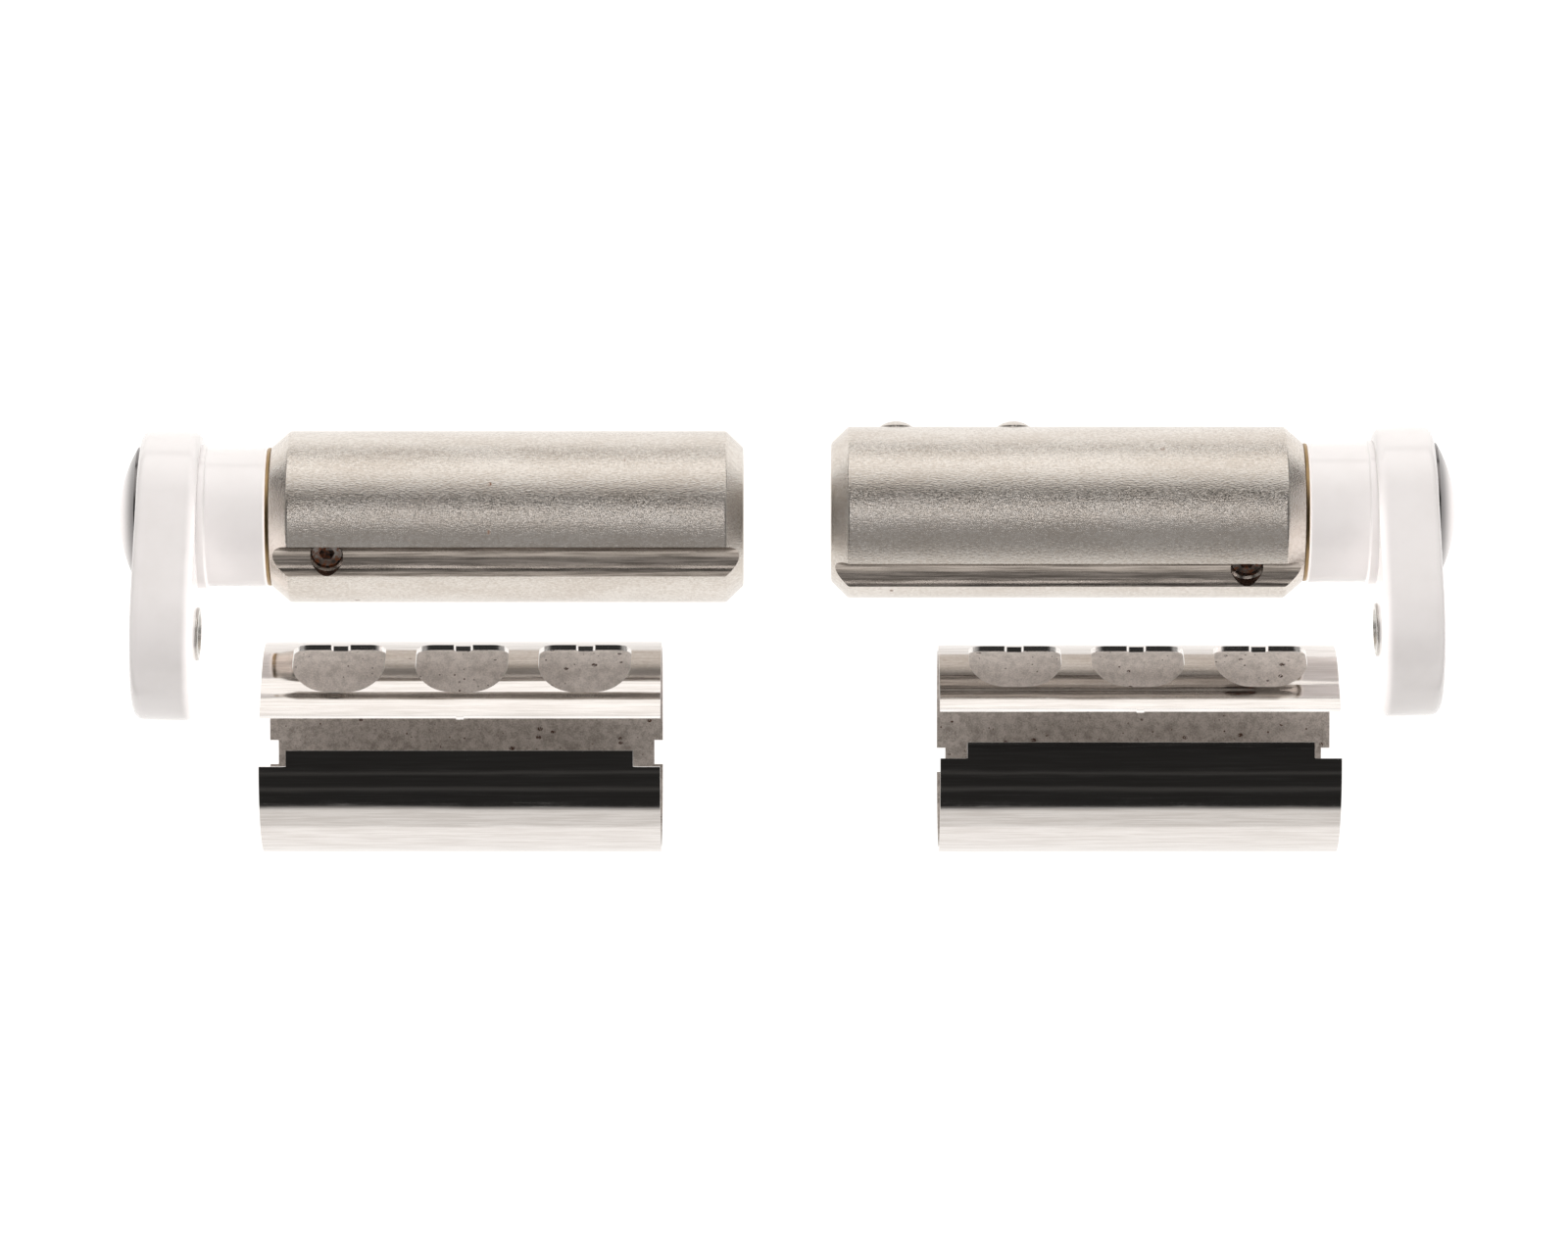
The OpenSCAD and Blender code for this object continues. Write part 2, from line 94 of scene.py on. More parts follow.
class Field:
    """A number that changes over a surface, with the usual operators."""

    def __init__(self, tree: "Recipe", socket: bpy.types.NodeSocket) -> None:
        """Wraps a node's output socket."""
        self.tree = tree
        self.socket = socket

    def _maths(self, operation: str, *values: "Field | float") -> "Field":
        """Adds one Math node.

        Args:
            operation: Blender's name of the operation.
            values: the node's inputs, in order.
        Returns:
            The result as a Field.
        """
        sockets = {i: v.socket if isinstance(v, Field) else v for i, v in enumerate(values)}
        made = self.tree.node("ShaderNodeMath", {"operation": operation}, sockets)
        return Field(self.tree, made.outputs[0])

    def __add__(self, other: "Field | float") -> "Field":
        """Sum."""
        return self._maths("ADD", self, other)

    def __sub__(self, other: "Field | float") -> "Field":
        """Difference."""
        return self._maths("SUBTRACT", self, other)

    def __rsub__(self, other: float) -> "Field":
        """Difference from a number."""
        return self._maths("SUBTRACT", other, self)

    def __mul__(self, other: "Field | float") -> "Field":
        """Product."""
        return self._maths("MULTIPLY", self, other)

    __radd__ = __add__
    __rmul__ = __mul__

    def absolute(self) -> "Field":
        """Size without sign."""
        return self._maths("ABSOLUTE", self)

    def angle(self, other: "Field") -> "Field":
        """Angle of (other, self) in degrees, from -180 to 180."""
        return self._maths("ARCTAN2", self, other) * math.degrees(1)

    def step(self, low: float, high: float) -> "Field":
        """Rises smoothly between two values.

        Args:
            low: where it leaves 0.
            high: where it reaches 1.
        Returns:
            The rising Field.
        """
        made = self.tree.node("ShaderNodeMapRange", {"interpolation_type": "SMOOTHSTEP"},
                              {0: self.socket, 1: low, 2: high})
        return Field(self.tree, made.outputs[0])

    def band(self, low: float, high: float, soft: float) -> "Field":
        """1 between low and high and 0 outside, with soft ends."""
        return self.step(low - soft, low + soft) * (1 - self.step(high - soft, high + soft))


class Recipe:
    """The node tree of one material or of the world, emptied and ready to fill."""

    def __init__(self, tree: bpy.types.NodeTree) -> None:
        """Takes over a node tree.

        Args:
            tree: the tree, which is emptied.
        """
        self.nodes = tree.nodes
        self.links = tree.links
        self.nodes.clear()

    def node(self, kind: str, settings: dict | None = None, inputs: dict | None = None) -> bpy.types.Node:
        """Adds one node.

        Args:
            kind: the node's type.
            settings: attributes that are set first.
            inputs: a value or a socket for each input, by name or number.
        Returns:
            The node.
        """
        made = self.nodes.new(kind)
        for name, value in (settings or {}).items():
            setattr(made, name, value)
        for key, value in (inputs or {}).items():
            if isinstance(value, Field):
                value = value.socket
            if isinstance(value, bpy.types.NodeSocket):
                self.links.new(value, made.inputs[key])
            else:
                made.inputs[key].default_value = value
        return made

    def place(self, stretch: tuple[float, float, float] = (1.0, 1.0, 1.0)) -> bpy.types.NodeSocket:
        """Object coordinates in millimetres.

        Args:
            stretch: what each axis is multiplied by.
        Returns:
            The coordinates' socket.
        """
        coords = self.node("ShaderNodeTexCoord").outputs["Object"]
        scale = tuple(value / MM for value in stretch)
        return self.node("ShaderNodeMapping", None, {"Vector": coords, "Scale": scale}).outputs[0]

    def noise(self, where: bpy.types.NodeSocket, scale: float, detail: float = 3.0,
              rough: float = 0.55) -> Field:
        """Smooth noise from 0 to 1.

        Args:
            where: the coordinates.
            scale: about how many waves a millimetre holds.
            detail: how many finer layers lie on it.
            rough: how strong the finer layers are.
        Returns:
            The noise.
        """
        made = self.node("ShaderNodeTexNoise", None,
                         {"Vector": where, "Scale": scale, "Detail": detail, "Roughness": rough})
        return Field(self, made.outputs[0])

    def specks(self, where: bpy.types.NodeSocket, scale: float, size: float) -> Field:
        """Sparse round specks, 1 inside and 0 outside.

        Args:
            where: the coordinates.
            scale: cells a millimetre, of which only a few hold a speck.
            size: the largest speck's radius, in cells.
        Returns:
            The mask.
        """
        cell = self.node("ShaderNodeTexVoronoi", None, {"Vector": where, "Scale": scale})
        chosen = self.node("ShaderNodeSeparateColor", None, {0: cell.outputs["Color"]})
        reach = Field(self, chosen.outputs[0]).step(0.55, 1.0) * size
        return (reach - Field(self, cell.outputs["Distance"])).step(0.0, size * 0.3)

    def blend(self, factor: Field | float, first: Colour | bpy.types.NodeSocket,
              second: Colour | bpy.types.NodeSocket) -> bpy.types.NodeSocket:
        """Mixes two colours.

        Args:
            factor: how much of the second shows.
            first: a colour, or the socket of one.
            second: a colour, or the socket of one.
        Returns:
            The mixed colour's socket.
        """
        made = self.node("ShaderNodeMix", {"data_type": "RGBA"}, {0: factor})
        for key, value in ((6, first), (7, second)):
            if isinstance(value, tuple):
                made.inputs[key].default_value = (*value, 1.0)
            else:
                self.links.new(value, made.inputs[key])
        return made.outputs[2]

    def bump(self, height: Field, depth_mm: float, strength: float = 1.0) -> bpy.types.NodeSocket:
        """A normal that follows a height field.

        Args:
            height: the field, about 0 to 1.
            depth_mm: how far a height of 1 stands out.
            strength: the Bump node's strength.
        Returns:
            The normal's socket.
        """
        made = self.node("ShaderNodeBump", None,
                         {"Height": height.socket, "Distance": depth_mm * MM, "Strength": strength})
        return made.outputs[0]

    def surface(self, inputs: dict) -> None:
        """Finishes the material with a Principled shader on the given inputs."""
        shader = self.node("ShaderNodeBsdfPrincipled", None, inputs)
        self.node("ShaderNodeOutputMaterial", None, {0: shader.outputs[0]})


@dataclass(frozen=True)
class Finish:
    """What every finish has: a name, and a way to become a material once."""

    name: str

    def material(self) -> bpy.types.Material:
        """Gives the material, and makes it the first time.

        Returns:
            The material.
        """
        label = f"finish_{self.name}"
        found = bpy.data.materials.get(label)
        if found is None:
            found = bpy.data.materials.new(label)
            found.use_nodes = True
            self.fill(Recipe(found.node_tree))
        return found

    def fill(self, tree: Recipe) -> None:
        """Builds the nodes.

        Args:
            tree: the material's empty tree.
        """
        raise NotImplementedError


@dataclass(frozen=True)
class SatinNickel(Finish):
    """Nickel over a peened steel barrel: a fine sparkle, soft mottling and a few rust specks."""

    light: Colour = (0.72, 0.68, 0.635)
    dark: Colour = (0.58, 0.525, 0.47)
    rust: Colour = (0.2, 0.09, 0.045)
    roughness: float = 0.2
    specks_per_mm: float = 0.4
    sparkle_mm: float = 0.03

    def fill(self, tree: Recipe) -> None:
        """Builds the nodes.

        Args:
            tree: the material's empty tree.
        """
        here = tree.place()
        along = tree.place((0.3, 1.0, 1.0))
        peen = tree.noise(along, 9.0, 2.0, 0.6)
        mottle = tree.noise(here, 3.2, 5.0, 0.7)
        cloud = tree.noise(tree.place((0.35, 1.0, 1.0)), 0.4, 3.0)
        wear = (peen * 0.35 + mottle * 0.4 + cloud * 0.25).step(0.4, 0.6)
        rust = tree.specks(here, self.specks_per_mm, 0.12) * mottle.step(0.42, 0.6)
        metal = tree.blend(wear, self.dark, self.light)
        tree.surface({
            "Base Color": tree.blend(rust, metal, self.rust),
            "Metallic": 1 - rust * 0.8,
            "Roughness": self.roughness + (mottle - 0.5) * 0.2 + (cloud - 0.5) * 0.12 + rust * 0.4,
            "Normal": tree.bump(peen + mottle * 0.3, self.sparkle_mm),
        })


@dataclass(frozen=True)
class BrightNickel(Finish):
    """Bright nickel on the outside of rolled spring sheet, with faint drawing streaks."""

    light: Colour = (0.75, 0.72, 0.7)
    dark: Colour = (0.64, 0.605, 0.58)
    roughness: float = 0.085

    def fill(self, tree: Recipe) -> None:
        """Builds the nodes.

        Args:
            tree: the material's empty tree.
        """
        streaks = tree.noise(tree.place((0.05, 1.4, 1.4)), 3.0, 4.0, 0.65)
        dull = tree.noise(tree.place(), 1.1, 4.0, 0.7)
        swell = tree.noise(tree.place((0.4, 1.0, 1.0)), 0.22, 1.0)
        tree.surface({
            "Base Color": tree.blend(streaks.step(0.35, 0.65), self.dark, self.light),
            "Metallic": 1.0,
            "Roughness": self.roughness + streaks.step(0.5, 0.72) * 0.08 + (dull - 0.5) * 0.08,
            "Normal": tree.bump(swell + streaks * 0.03, 0.05),
        })


@dataclass(frozen=True)
class DullInside(Finish):
    """The unpolished inside of a sleeve: grey-brown, with painted light that makes it paler towards the
    back, and rust specks.
    """

    light: Colour = (0.84, 0.77, 0.72)
    dark: Colour = (0.3, 0.265, 0.235)
    rust: Colour = (0.06, 0.025, 0.014)
    metallic: float = 0.3
    painted_light_starts_mm: float = -9.0
    painted_light_full_mm: float = -4.5

    def fill(self, tree: Recipe) -> None:
        """Builds the nodes.

        Args:
            tree: the material's empty tree.
        """
        here = tree.place()
        mottle = tree.noise(here, 1.2, 5.0, 0.7)
        fine = tree.noise(here, 8.0, 2.0)
        rust = tree.specks(tree.place((0.7, 1.0, 1.0)), 1.1, 0.26) * fine.step(0.4, 0.5)
        pits = tree.specks(here, 2.2, 0.26) * mottle.step(0.42, 0.52)
        marks = (rust + pits * 0.75).step(0.0, 0.9)
        apart = tree.node("ShaderNodeSeparateXYZ", None, {0: here})
        # Painted light: the inside grows paler towards the back along Y, and this gives half of its tone;
        # the other half is random mottling
        pale = Field(tree, apart.outputs[1]).step(self.painted_light_starts_mm, self.painted_light_full_mm)
        shade = (mottle * 0.6 + fine * 0.4).step(0.36, 0.62) * 0.5 + pale * 0.5
        metal = tree.blend(shade, self.dark, self.light)
        tree.surface({
            "Base Color": tree.blend(marks, metal, self.rust),
            "Metallic": self.metallic * (1 - marks),
            "Roughness": 0.5 + (fine - 0.5) * 0.2 + marks * 0.2,
            "Normal": tree.bump(mottle * 0.6 + fine * 0.5, 0.02),
        })


@dataclass(frozen=True)
class CapPaintedReflection(Finish):
    """Domed steel cap whose colour holds a painted reflection: bright towards the apex and dark grey
    towards its rim.
    """

    # light and dark are the painted reflection's colours at the apex and at the rim; middle_mm and rim_mm
    # are where each is reached along X
    light: Colour = (0.84, 0.79, 0.79)
    dark: Colour = (0.2, 0.19, 0.19)
    middle_mm: float = 62.3
    rim_mm: float = 60.7

    def fill(self, tree: Recipe) -> None:
        """Builds the nodes.

        Args:
            tree: the material's empty tree.
        """
        here = tree.place()
        apart = tree.node("ShaderNodeSeparateXYZ", None, {0: here})
        out = Field(tree, apart.outputs[0]).absolute()
        rings = tree.noise(tree.place((1.0, 0.05, 0.05)), 9.0, 3.0, 0.6)
        haze = tree.noise(here, 1.4, 4.0, 0.65)
        # Painted reflection: the colour runs from dark at the rim to bright at the apex, with a little
        # random haze on top
        bright = out.step(self.rim_mm, self.middle_mm) + (haze - 0.5) * 0.1
        tree.surface({
            "Base Color": tree.blend(bright, self.dark, self.light),
            "Metallic": 1.0,
            "Roughness": 0.24 + (haze - 0.5) * 0.12,
            "Normal": tree.bump(rings * 0.5 + haze * 0.5, 0.006),
        })


@dataclass(frozen=True)
class GlossyWhite(Finish):
    """Glossy white moulding with faint flow marks and a little grey soiling."""

    light: Colour = (0.9, 0.872, 0.87)
    soil: Colour = (0.62, 0.585, 0.555)

    def fill(self, tree: Recipe) -> None:
        """Builds the nodes.

        Args:
            tree: the material's empty tree.
        """
        here = tree.place()
        cloud = tree.noise(here, 0.16, 4.0, 0.6)
        peel = tree.noise(here, 0.9, 2.0)
        dirt = tree.specks(here, 0.42, 0.12) * tree.noise(here, 1.7, 4.0, 0.7).step(0.4, 0.6)
        shade = tree.blend(cloud.step(0.35, 0.75) * 0.16, self.light, self.soil)
        tree.surface({
            "Base Color": tree.blend(dirt * 0.35, shade, self.soil),
            "Roughness": 0.2 + (cloud - 0.5) * 0.08 + dirt * 0.2,
            "Normal": tree.bump(peel, 0.006),
            "IOR": 1.5,
            "Coat Weight": 0.25,
            "Coat Roughness": 0.08,
        })


@dataclass(frozen=True)
class TurnedMetal(Finish):
    """Turned or ground metal with tool rings about the hinge line."""

    light: Colour = (0.6, 0.58, 0.56)
    roughness: float = 0.25
    rust: float = 0.0
    rust_colour: Colour = (0.2, 0.07, 0.03)

    def fill(self, tree: Recipe) -> None:
        """Builds the nodes.

        Args:
            tree: the material's empty tree.
        """
        dark = tuple(value * 0.78 for value in self.light)
        here = tree.place()
        rings = tree.noise(tree.place((1.0, 0.04, 0.04)), 7.0, 3.0, 0.6)
        mottle = tree.noise(here, 2.2, 4.0, 0.7)
        edge = 0.72 - 0.35 * self.rust
        corroded = mottle.step(edge, edge + 0.1) * min(1.0, self.rust * 2)
        metal = tree.blend((rings * 0.5 + mottle * 0.5).step(0.36, 0.64), dark, self.light)
        tree.surface({
            "Base Color": tree.blend(corroded, metal, self.rust_colour),
            "Metallic": 1 - corroded * 0.75,
            "Roughness": self.roughness + (mottle - 0.5) * 0.14 + corroded * 0.35,
            "Normal": tree.bump(rings * 0.6 + mottle * 0.4, 0.006),
        })


@dataclass(frozen=True)
class Moulded(Finish):
    """Moulded resin or rubber, with a fine cast grain."""

    light: Colour = (0.2, 0.2, 0.21)
    roughness: float = 0.5

    def fill(self, tree: Recipe) -> None:
        """Builds the nodes.

        Args:
            tree: the material's empty tree.
        """
        here = tree.place()
        grain = tree.noise(here, 6.0, 3.0, 0.6)
        cloud = tree.noise(here, 0.5, 2.0)
        dark = tuple(value * 0.7 for value in self.light)
        tree.surface({
            "Base Color": tree.blend(cloud.step(0.3, 0.7), dark, self.light),
            "Roughness": self.roughness + (grain - 0.5) * 0.2,
            "Normal": tree.bump(grain, 0.01),
        })


BARREL = SatinNickel("satin_nickel")
# Darker nickel for the faces cut by the keyway and the screw hole: painted shade inside the groove
KEYWAY_PAINTED_SHADE = BrightNickel("keyway_painted_shade", light=(0.56, 0.5, 0.45), dark=(0.24, 0.21, 0.185), roughness=0.26)
RIVET = SatinNickel("rivet_nickel", light=(0.66, 0.62, 0.58), roughness=0.22, specks_per_mm=0.2)
SHEET_OUTSIDE = BrightNickel("bright_nickel")
SHEET_EDGE = BrightNickel("sheared_edge", light=(0.96, 0.94, 0.92), dark=(0.8, 0.77, 0.75), roughness=0.22)
SHEET_INSIDE = DullInside("sheet_inside")
WHITE = GlossyWhite("white_arm")
CAP = CapPaintedReflection("cap_steel")
INSERT = TurnedMetal("insert_steel", light=(0.64, 0.62, 0.59), roughness=0.22)
WASHER = TurnedMetal("washer_brass", light=(0.42, 0.29, 0.15), roughness=0.4)
SCREW = TurnedMetal("rusty_steel", light=(0.3, 0.27, 0.25), roughness=0.3, rust=0.7)
INNER_FINISHES: dict[str, Finish] = {
    "end_plug": TurnedMetal("plug_steel", light=(0.56, 0.53, 0.5), roughness=0.3, rust=0.3),
    "stator": Moulded("damper_resin", light=(0.16, 0.16, 0.18)),
    "rotor": Moulded("rotor_resin", light=(0.66, 0.64, 0.58)),
    "shaft": TurnedMetal("shaft_steel", light=(0.56, 0.55, 0.54), roughness=0.18),
    "retaining_clip": TurnedMetal("clip_steel", light=(0.16, 0.17, 0.2), roughness=0.35),
    "shaft_seal": Moulded("seal_rubber", light=(0.03, 0.03, 0.03), roughness=0.6),
    "bush_seal": Moulded("seal_rubber", light=(0.03, 0.03, 0.03), roughness=0.6),
    "front_bush": TurnedMetal("bush_brass", light=(0.66, 0.52, 0.3), roughness=0.26),
    "retaining_screw": SCREW,
}


# ---------------------------------------------------------------- mesh tools


def arc(centre: Point, radius: float, start: float, end: float, steps: int) -> list[Point]:
    """Points along an arc.

    Args:
        centre: the arc's centre.
        radius: its radius.
        start: first angle in degrees, counted from the first axis.
        end: last angle in degrees.
        steps: stretches between the points.
    Returns:
        steps + 1 points.
    """
    angles = [math.radians(start + (end - start) * i / steps) for i in range(steps + 1)]
    return [(centre[0] + radius * math.cos(a), centre[1] + radius * math.sin(a)) for a in angles]


def softened(points: Sequence[Point], radius: float, closed: bool = True, steps: int = 4) -> list[Point]:
    """Rounds the corners of an outline.

    Args:
        points: the outline's corners.
        radius: how far each rounding reaches along its sides.
        closed: whether the last point joins the first, else both ends stay sharp.
        steps: stretches in each rounded corner.
    Returns:
        The outline with a short curve at each corner, and a point that holds the straight beside it.
    """
    made: list[Point] = []
    count = len(points)
    for i, (x, y) in enumerate(points):
        if not closed and i in (0, count - 1):
            made.append((x, y))
            continue
        here = Vector((x, y))
        before = Vector(points[i - 1]) - here
        after = Vector(points[(i + 1) % count]) - here
        reach = min(radius, before.length / 3, after.length / 3)
        first = here + before.normalized() * reach
        last = here + after.normalized() * reach
        curve = [first * (1 - t) ** 2 + here * 2 * t * (1 - t) + last * t ** 2
                 for t in (k / steps for k in range(steps + 1))]
        hold = [here + way.normalized() * reach * 1.3 for way in (before, after)]
        made += [(spot.x, spot.y) for spot in (hold[0], *curve, hold[1])]
    return made


def lathe(profile: Sequence[Point], closed: bool = True, steps: int = 128) -> bmesh.types.BMesh:
    """Spins a profile about X.

    Args:
        profile: (x, radius) points in millimetres.
        closed: whether the last point joins the first.
        steps: sides of the full turn.
    Returns:
        The mesh, with its faces outwards.
    """
    bm = bmesh.new()
    verts = [bm.verts.new((x * MM, r * MM, 0.0)) for x, r in profile]
    pairs = list(zip(verts, verts[1:])) + ([(verts[-1], verts[0])] if closed else [])
    edges = [bm.edges.new(pair) for pair in pairs]
    bmesh.ops.spin(bm, geom=verts + edges, cent=(0, 0, 0), axis=(1, 0, 0), dvec=(0, 0, 0),
                   angle=math.tau, steps=steps, use_merge=True, use_duplicate=False)
    bmesh.ops.remove_doubles(bm, verts=bm.verts, dist=MERGE)
    bmesh.ops.recalc_face_normals(bm, faces=bm.faces)
    return bm


def slab(outline: Sequence[Point], x0: float, x1: float) -> bmesh.types.BMesh:
    """Extrudes an outline in the YZ plane along X.

    Args:
        outline: (y, z) points in millimetres.
        x0: where it starts.
        x1: where it ends.
    Returns:
        The closed mesh.
    """
    bm = bmesh.new()
    verts = [bm.verts.new((x0 * MM, y * MM, z * MM)) for y, z in outline]
    face = bm.faces.new(verts)
    grown = bmesh.ops.extrude_face_region(bm, geom=[face], use_keep_orig=True)["geom"]
    moved = [part for part in grown if isinstance(part, bmesh.types.BMVert)]
    bmesh.ops.translate(bm, verts=moved, vec=((x1 - x0) * MM, 0, 0))
    bmesh.ops.recalc_face_normals(bm, faces=bm.faces)
    return bm


def turned(bm: bmesh.types.BMesh, matrix: Matrix) -> bmesh.types.BMesh:
    """Moves a whole mesh, and keeps its faces outwards where the matrix mirrors it.

    Args:
        bm: the mesh, which is changed.
        matrix: where it goes.
    Returns:
        The same mesh.
    """
    bmesh.ops.transform(bm, matrix=matrix, verts=bm.verts)
    if matrix.determinant() < 0:
        bmesh.ops.reverse_faces(bm, faces=bm.faces)
    return bm


def solid(name: str, bm: bmesh.types.BMesh, finishes: Iterable[Finish]) -> bpy.types.Object:
    """Makes an object at the origin from a bmesh, smooth but for its sharp edges.

    Args:
        name: the object's name.
        bm: the mesh, which is freed.
        finishes: its material slots, in order.
    Returns:
        The object, linked to the scene.
    """
    mesh = bpy.data.meshes.new(name)
    bm.to_mesh(mesh)
    bm.free()
    made = bpy.data.objects.new(name, mesh)
    bpy.context.scene.collection.objects.link(made)
    for finish in finishes:
        mesh.materials.append(finish.material())
    shade(made)
    return made


def shade(piece: bpy.types.Object, sharp_deg: float = SMOOTH_DEG) -> None:
    """Shades an object smooth.

    Args:
        piece: the object.
        sharp_deg: edges that turn by more than this stay sharp.
    """
    piece.data.polygons.foreach_set("use_smooth", [True] * len(piece.data.polygons))
    piece.data.set_sharp_from_angle(angle=math.radians(sharp_deg))
    piece.data.update()


def combine(body: bpy.types.Object, tools: Sequence[bpy.types.Object], how: Cutting) -> None:
    """Joins tools to a body or cuts them out of it, and removes the tools.

    Args:
        body: the object that is changed. Its cut faces take the tools' materials.
        tools: closed objects.
        how: whether they are added or removed.
    """
    for tool in tools:
        step = body.modifiers.new("combine", "BOOLEAN")
        step.operation = how.value
        step.solver = "EXACT"
        step.material_mode = "TRANSFER"
        step.object = tool
    graph = bpy.context.evaluated_depsgraph_get()
    mesh = bpy.data.meshes.new_from_object(body.evaluated_get(graph), depsgraph=graph)
    body.modifiers.clear()
    old = body.data
    mesh.name = old.name + "_made"
    body.data = mesh
    bpy.data.meshes.remove(old)
    for tool in tools:
        bpy.data.objects.remove(tool)
    bm = bmesh.new()
    bm.from_mesh(mesh)
    bmesh.ops.remove_doubles(bm, verts=bm.verts, dist=MERGE)
    bmesh.ops.dissolve_degenerate(bm, edges=bm.edges, dist=MERGE)
    bm.to_mesh(mesh)
    bm.free()
    shade(body)


def finish_piece(piece: bpy.types.Object, body: str, node: str) -> None:
    """Puts a piece on its body in place of its CAD node.

    Args:
        piece: the finished object.
        body: the CAD body that it rides on.
        node: the CAD node that it stands for.
    """
    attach(piece, body)
    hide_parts(node)
    log.info("%s: %d faces on %s", piece.name, len(piece.data.polygons), body)


# ---------------------------------------------------------------- one hinge


@dataclass
class Hinge:
    """One hinge, built along +X from its barrel's inner end and then put on its side."""

    side: Side

    # Barrel
    barrel_r: float = 8.0
    bore_r: float = 5.9
    inner_chamfer: float = 1.6
    arm_chamfer: float = 1.8
    chamfer_depth: float = 1.55

    # Keyway, with the retaining screw's hole in it
    keyway_w: float = 3.3
    keyway_depth: float = 1.2
    keyway_lip: float = 0.1
    screw_hole_r: float = 1.43
    screw_from_arm_end: float = 5.45
    countersink: float = 0.16

    # Rivets, counted from the barrel's inner end and from the keyway
    rivet_at: tuple[float, float] = (6.1, 17.1)
    rivet_row_deg: float = 150.0
    rivet_r: float = 1.7
    rivet_h: float = 0.65
    rivet_shank_r: float = 1.0

    # Arm: a plate round the hinge line and round its free end, and a boss
    head_r: float = 8.0
    lobe_r: float = 9.4
    reach: float = 9.8
    plate_t: float = 5.6
    edge_r: float = 0.95
    crown: float = 0.25
    crown_rings: int = 6
    crown_spread: float = 0.9
    lean_deg: float = 1.6
    boss_r: float = 6.55
    boss_gap: float = 0.33
    boss_foot: float = 0.2
    bush_bore_r: float = 3.56
    shaft_end_r: float = 2.95

    # Cap on the outer face, and threaded insert in the inner one
    cap_r: float = 6.5
    cap_h: float = 2.0
    cap_rim: float = 0.22
    insert_reach: float = 11.1
    insert_r: float = 2.2
    insert_len: float = 5.0
    insert_play: float = 0.04
    flange_r: float = 2.5
    flange_t: float = 0.25
    thread_pitch: float = 0.7
    thread_crest_r: float = 1.65
    thread_groove_r: float = 1.98

    # Places read from the CAD frame
    length: float = field(init=False)
    seat: Matrix = field(init=False)
    keyway_deg: float = field(init=False)
    arm_start: float = field(init=False)
    arm_end: float = field(init=False)

    def __post_init__(self) -> None:
        """Reads the hinge's place from the CAD frame."""
        low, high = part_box(self.node("barrel"))
        self.length = (high.x - low.x) / MM
        inner_x = min(abs(low.x), abs(high.x))
        middle = (low + high) / 2
        self.seat = (Matrix.Translation((0, middle.y, high.z - self.barrel_r * MM))
                     @ Matrix.Scale(self.side.value, 4, (1, 0, 0))
                     @ Matrix.Translation((inner_x, 0, 0)))
        screw_low, screw_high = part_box(self.node("retaining_screw"))
        screw = (screw_low + screw_high) / 2 - self.seat.translation
        self.keyway_deg = math.degrees(math.atan2(screw.z, screw.y))
        cap_low, cap_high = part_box(self.node("domed_cap"))
        self.arm_end = (min(abs(cap_low.x), abs(cap_high.x)) - inner_x) / MM
        self.arm_start = self.arm_end - self.plate_t

    def node(self, part: str) -> str:
        """The CAD node of one of this hinge's parts."""
        return f"{self.side.word}_{part}"

    def body(self, moving: bool) -> str:
        """The CAD body of the arm, if moving, or of the barrel."""
        return self.node("arm_unit" if moving else "barrel_unit")

    @property
    def arm_deg(self) -> float:
        """Direction from the hinge line to the arm's free end, from +Y towards +Z."""
        return 180 - math.degrees(math.asin((self.lobe_r - self.head_r) / self.reach))

    @property
    def leaned(self) -> Matrix:
        """Leans the arm's plate outwards, about the hinge line at the plate's inner face.

        Returns:
            The matrix, in hinge coordinates.
        """
        along = Matrix.Rotation(math.radians(self.arm_deg), 4, "X")
        root = Matrix.Translation((self.arm_start * MM, 0, 0))
        tilt = Matrix.Rotation(math.radians(-self.lean_deg), 4, "Z")
        return root @ along @ tilt @ along.inverted() @ root.inverted()

    def radial(self, deg: float, at: float) -> Matrix:
        """Turns what is made along X so that it points out of the barrel.

        Args:
            deg: its direction round the barrel.
            at: how far along the barrel it stands.
        Returns:
            The matrix.
        """
        return (Matrix.Translation((at * MM, 0, 0)) @ Matrix.Rotation(math.radians(deg), 4, "X")
                @ Matrix.Rotation(math.radians(90), 4, "Z"))

    def put(self, part: str, bm: bmesh.types.BMesh, finish: Finish, moving: bool) -> None:
        """Turns a mesh in hinge coordinates into a finished piece.

        Args:
            part: the part's name without its side.
            bm: the mesh.
            finish: its finish.
            moving: whether it turns with the arm.
        """
        piece = solid(self.node(part) + "_look", turned(bm, self.seat), [finish])
        finish_piece(piece, self.body(moving), self.node(part))

    def build(self) -> None:
        """Builds every visible part and dresses the CAD nodes inside."""
        self.barrel()
        self.rivets()
        self.thrust_washer()
        self.arm()
        self.arm_insert()
        self.domed_cap()
        for part, finish in INNER_FINISHES.items():
            dress(self.node(part), finish)

    def barrel(self) -> None:
        """The chamfered barrel with its keyway and screw hole."""
        length, r, low = self.length, self.barrel_r, self.barrel_r - self.chamfer_depth
        outside = softened([
            (0, self.bore_r), (0, low), (self.inner_chamfer, r),
            (length - self.arm_chamfer, r), (length, low), (length, self.bore_r)], 0.16)
        body = solid("barrel_blank", turned(lathe(outside, steps=256), self.seat), [BARREL])
        cuts = [self.keyway_cutter(), self.screw_hole_cutter()]
        # The cut faces take the darker keyway nickel, which paints the groove's shade
        tools = [solid("cutter", turned(bm, self.seat), [KEYWAY_PAINTED_SHADE]) for bm in cuts]
        combine(body, tools, Cutting.REMOVE)
        body.name = self.node("barrel") + "_look"
        finish_piece(body, self.body(False), self.node("barrel"))

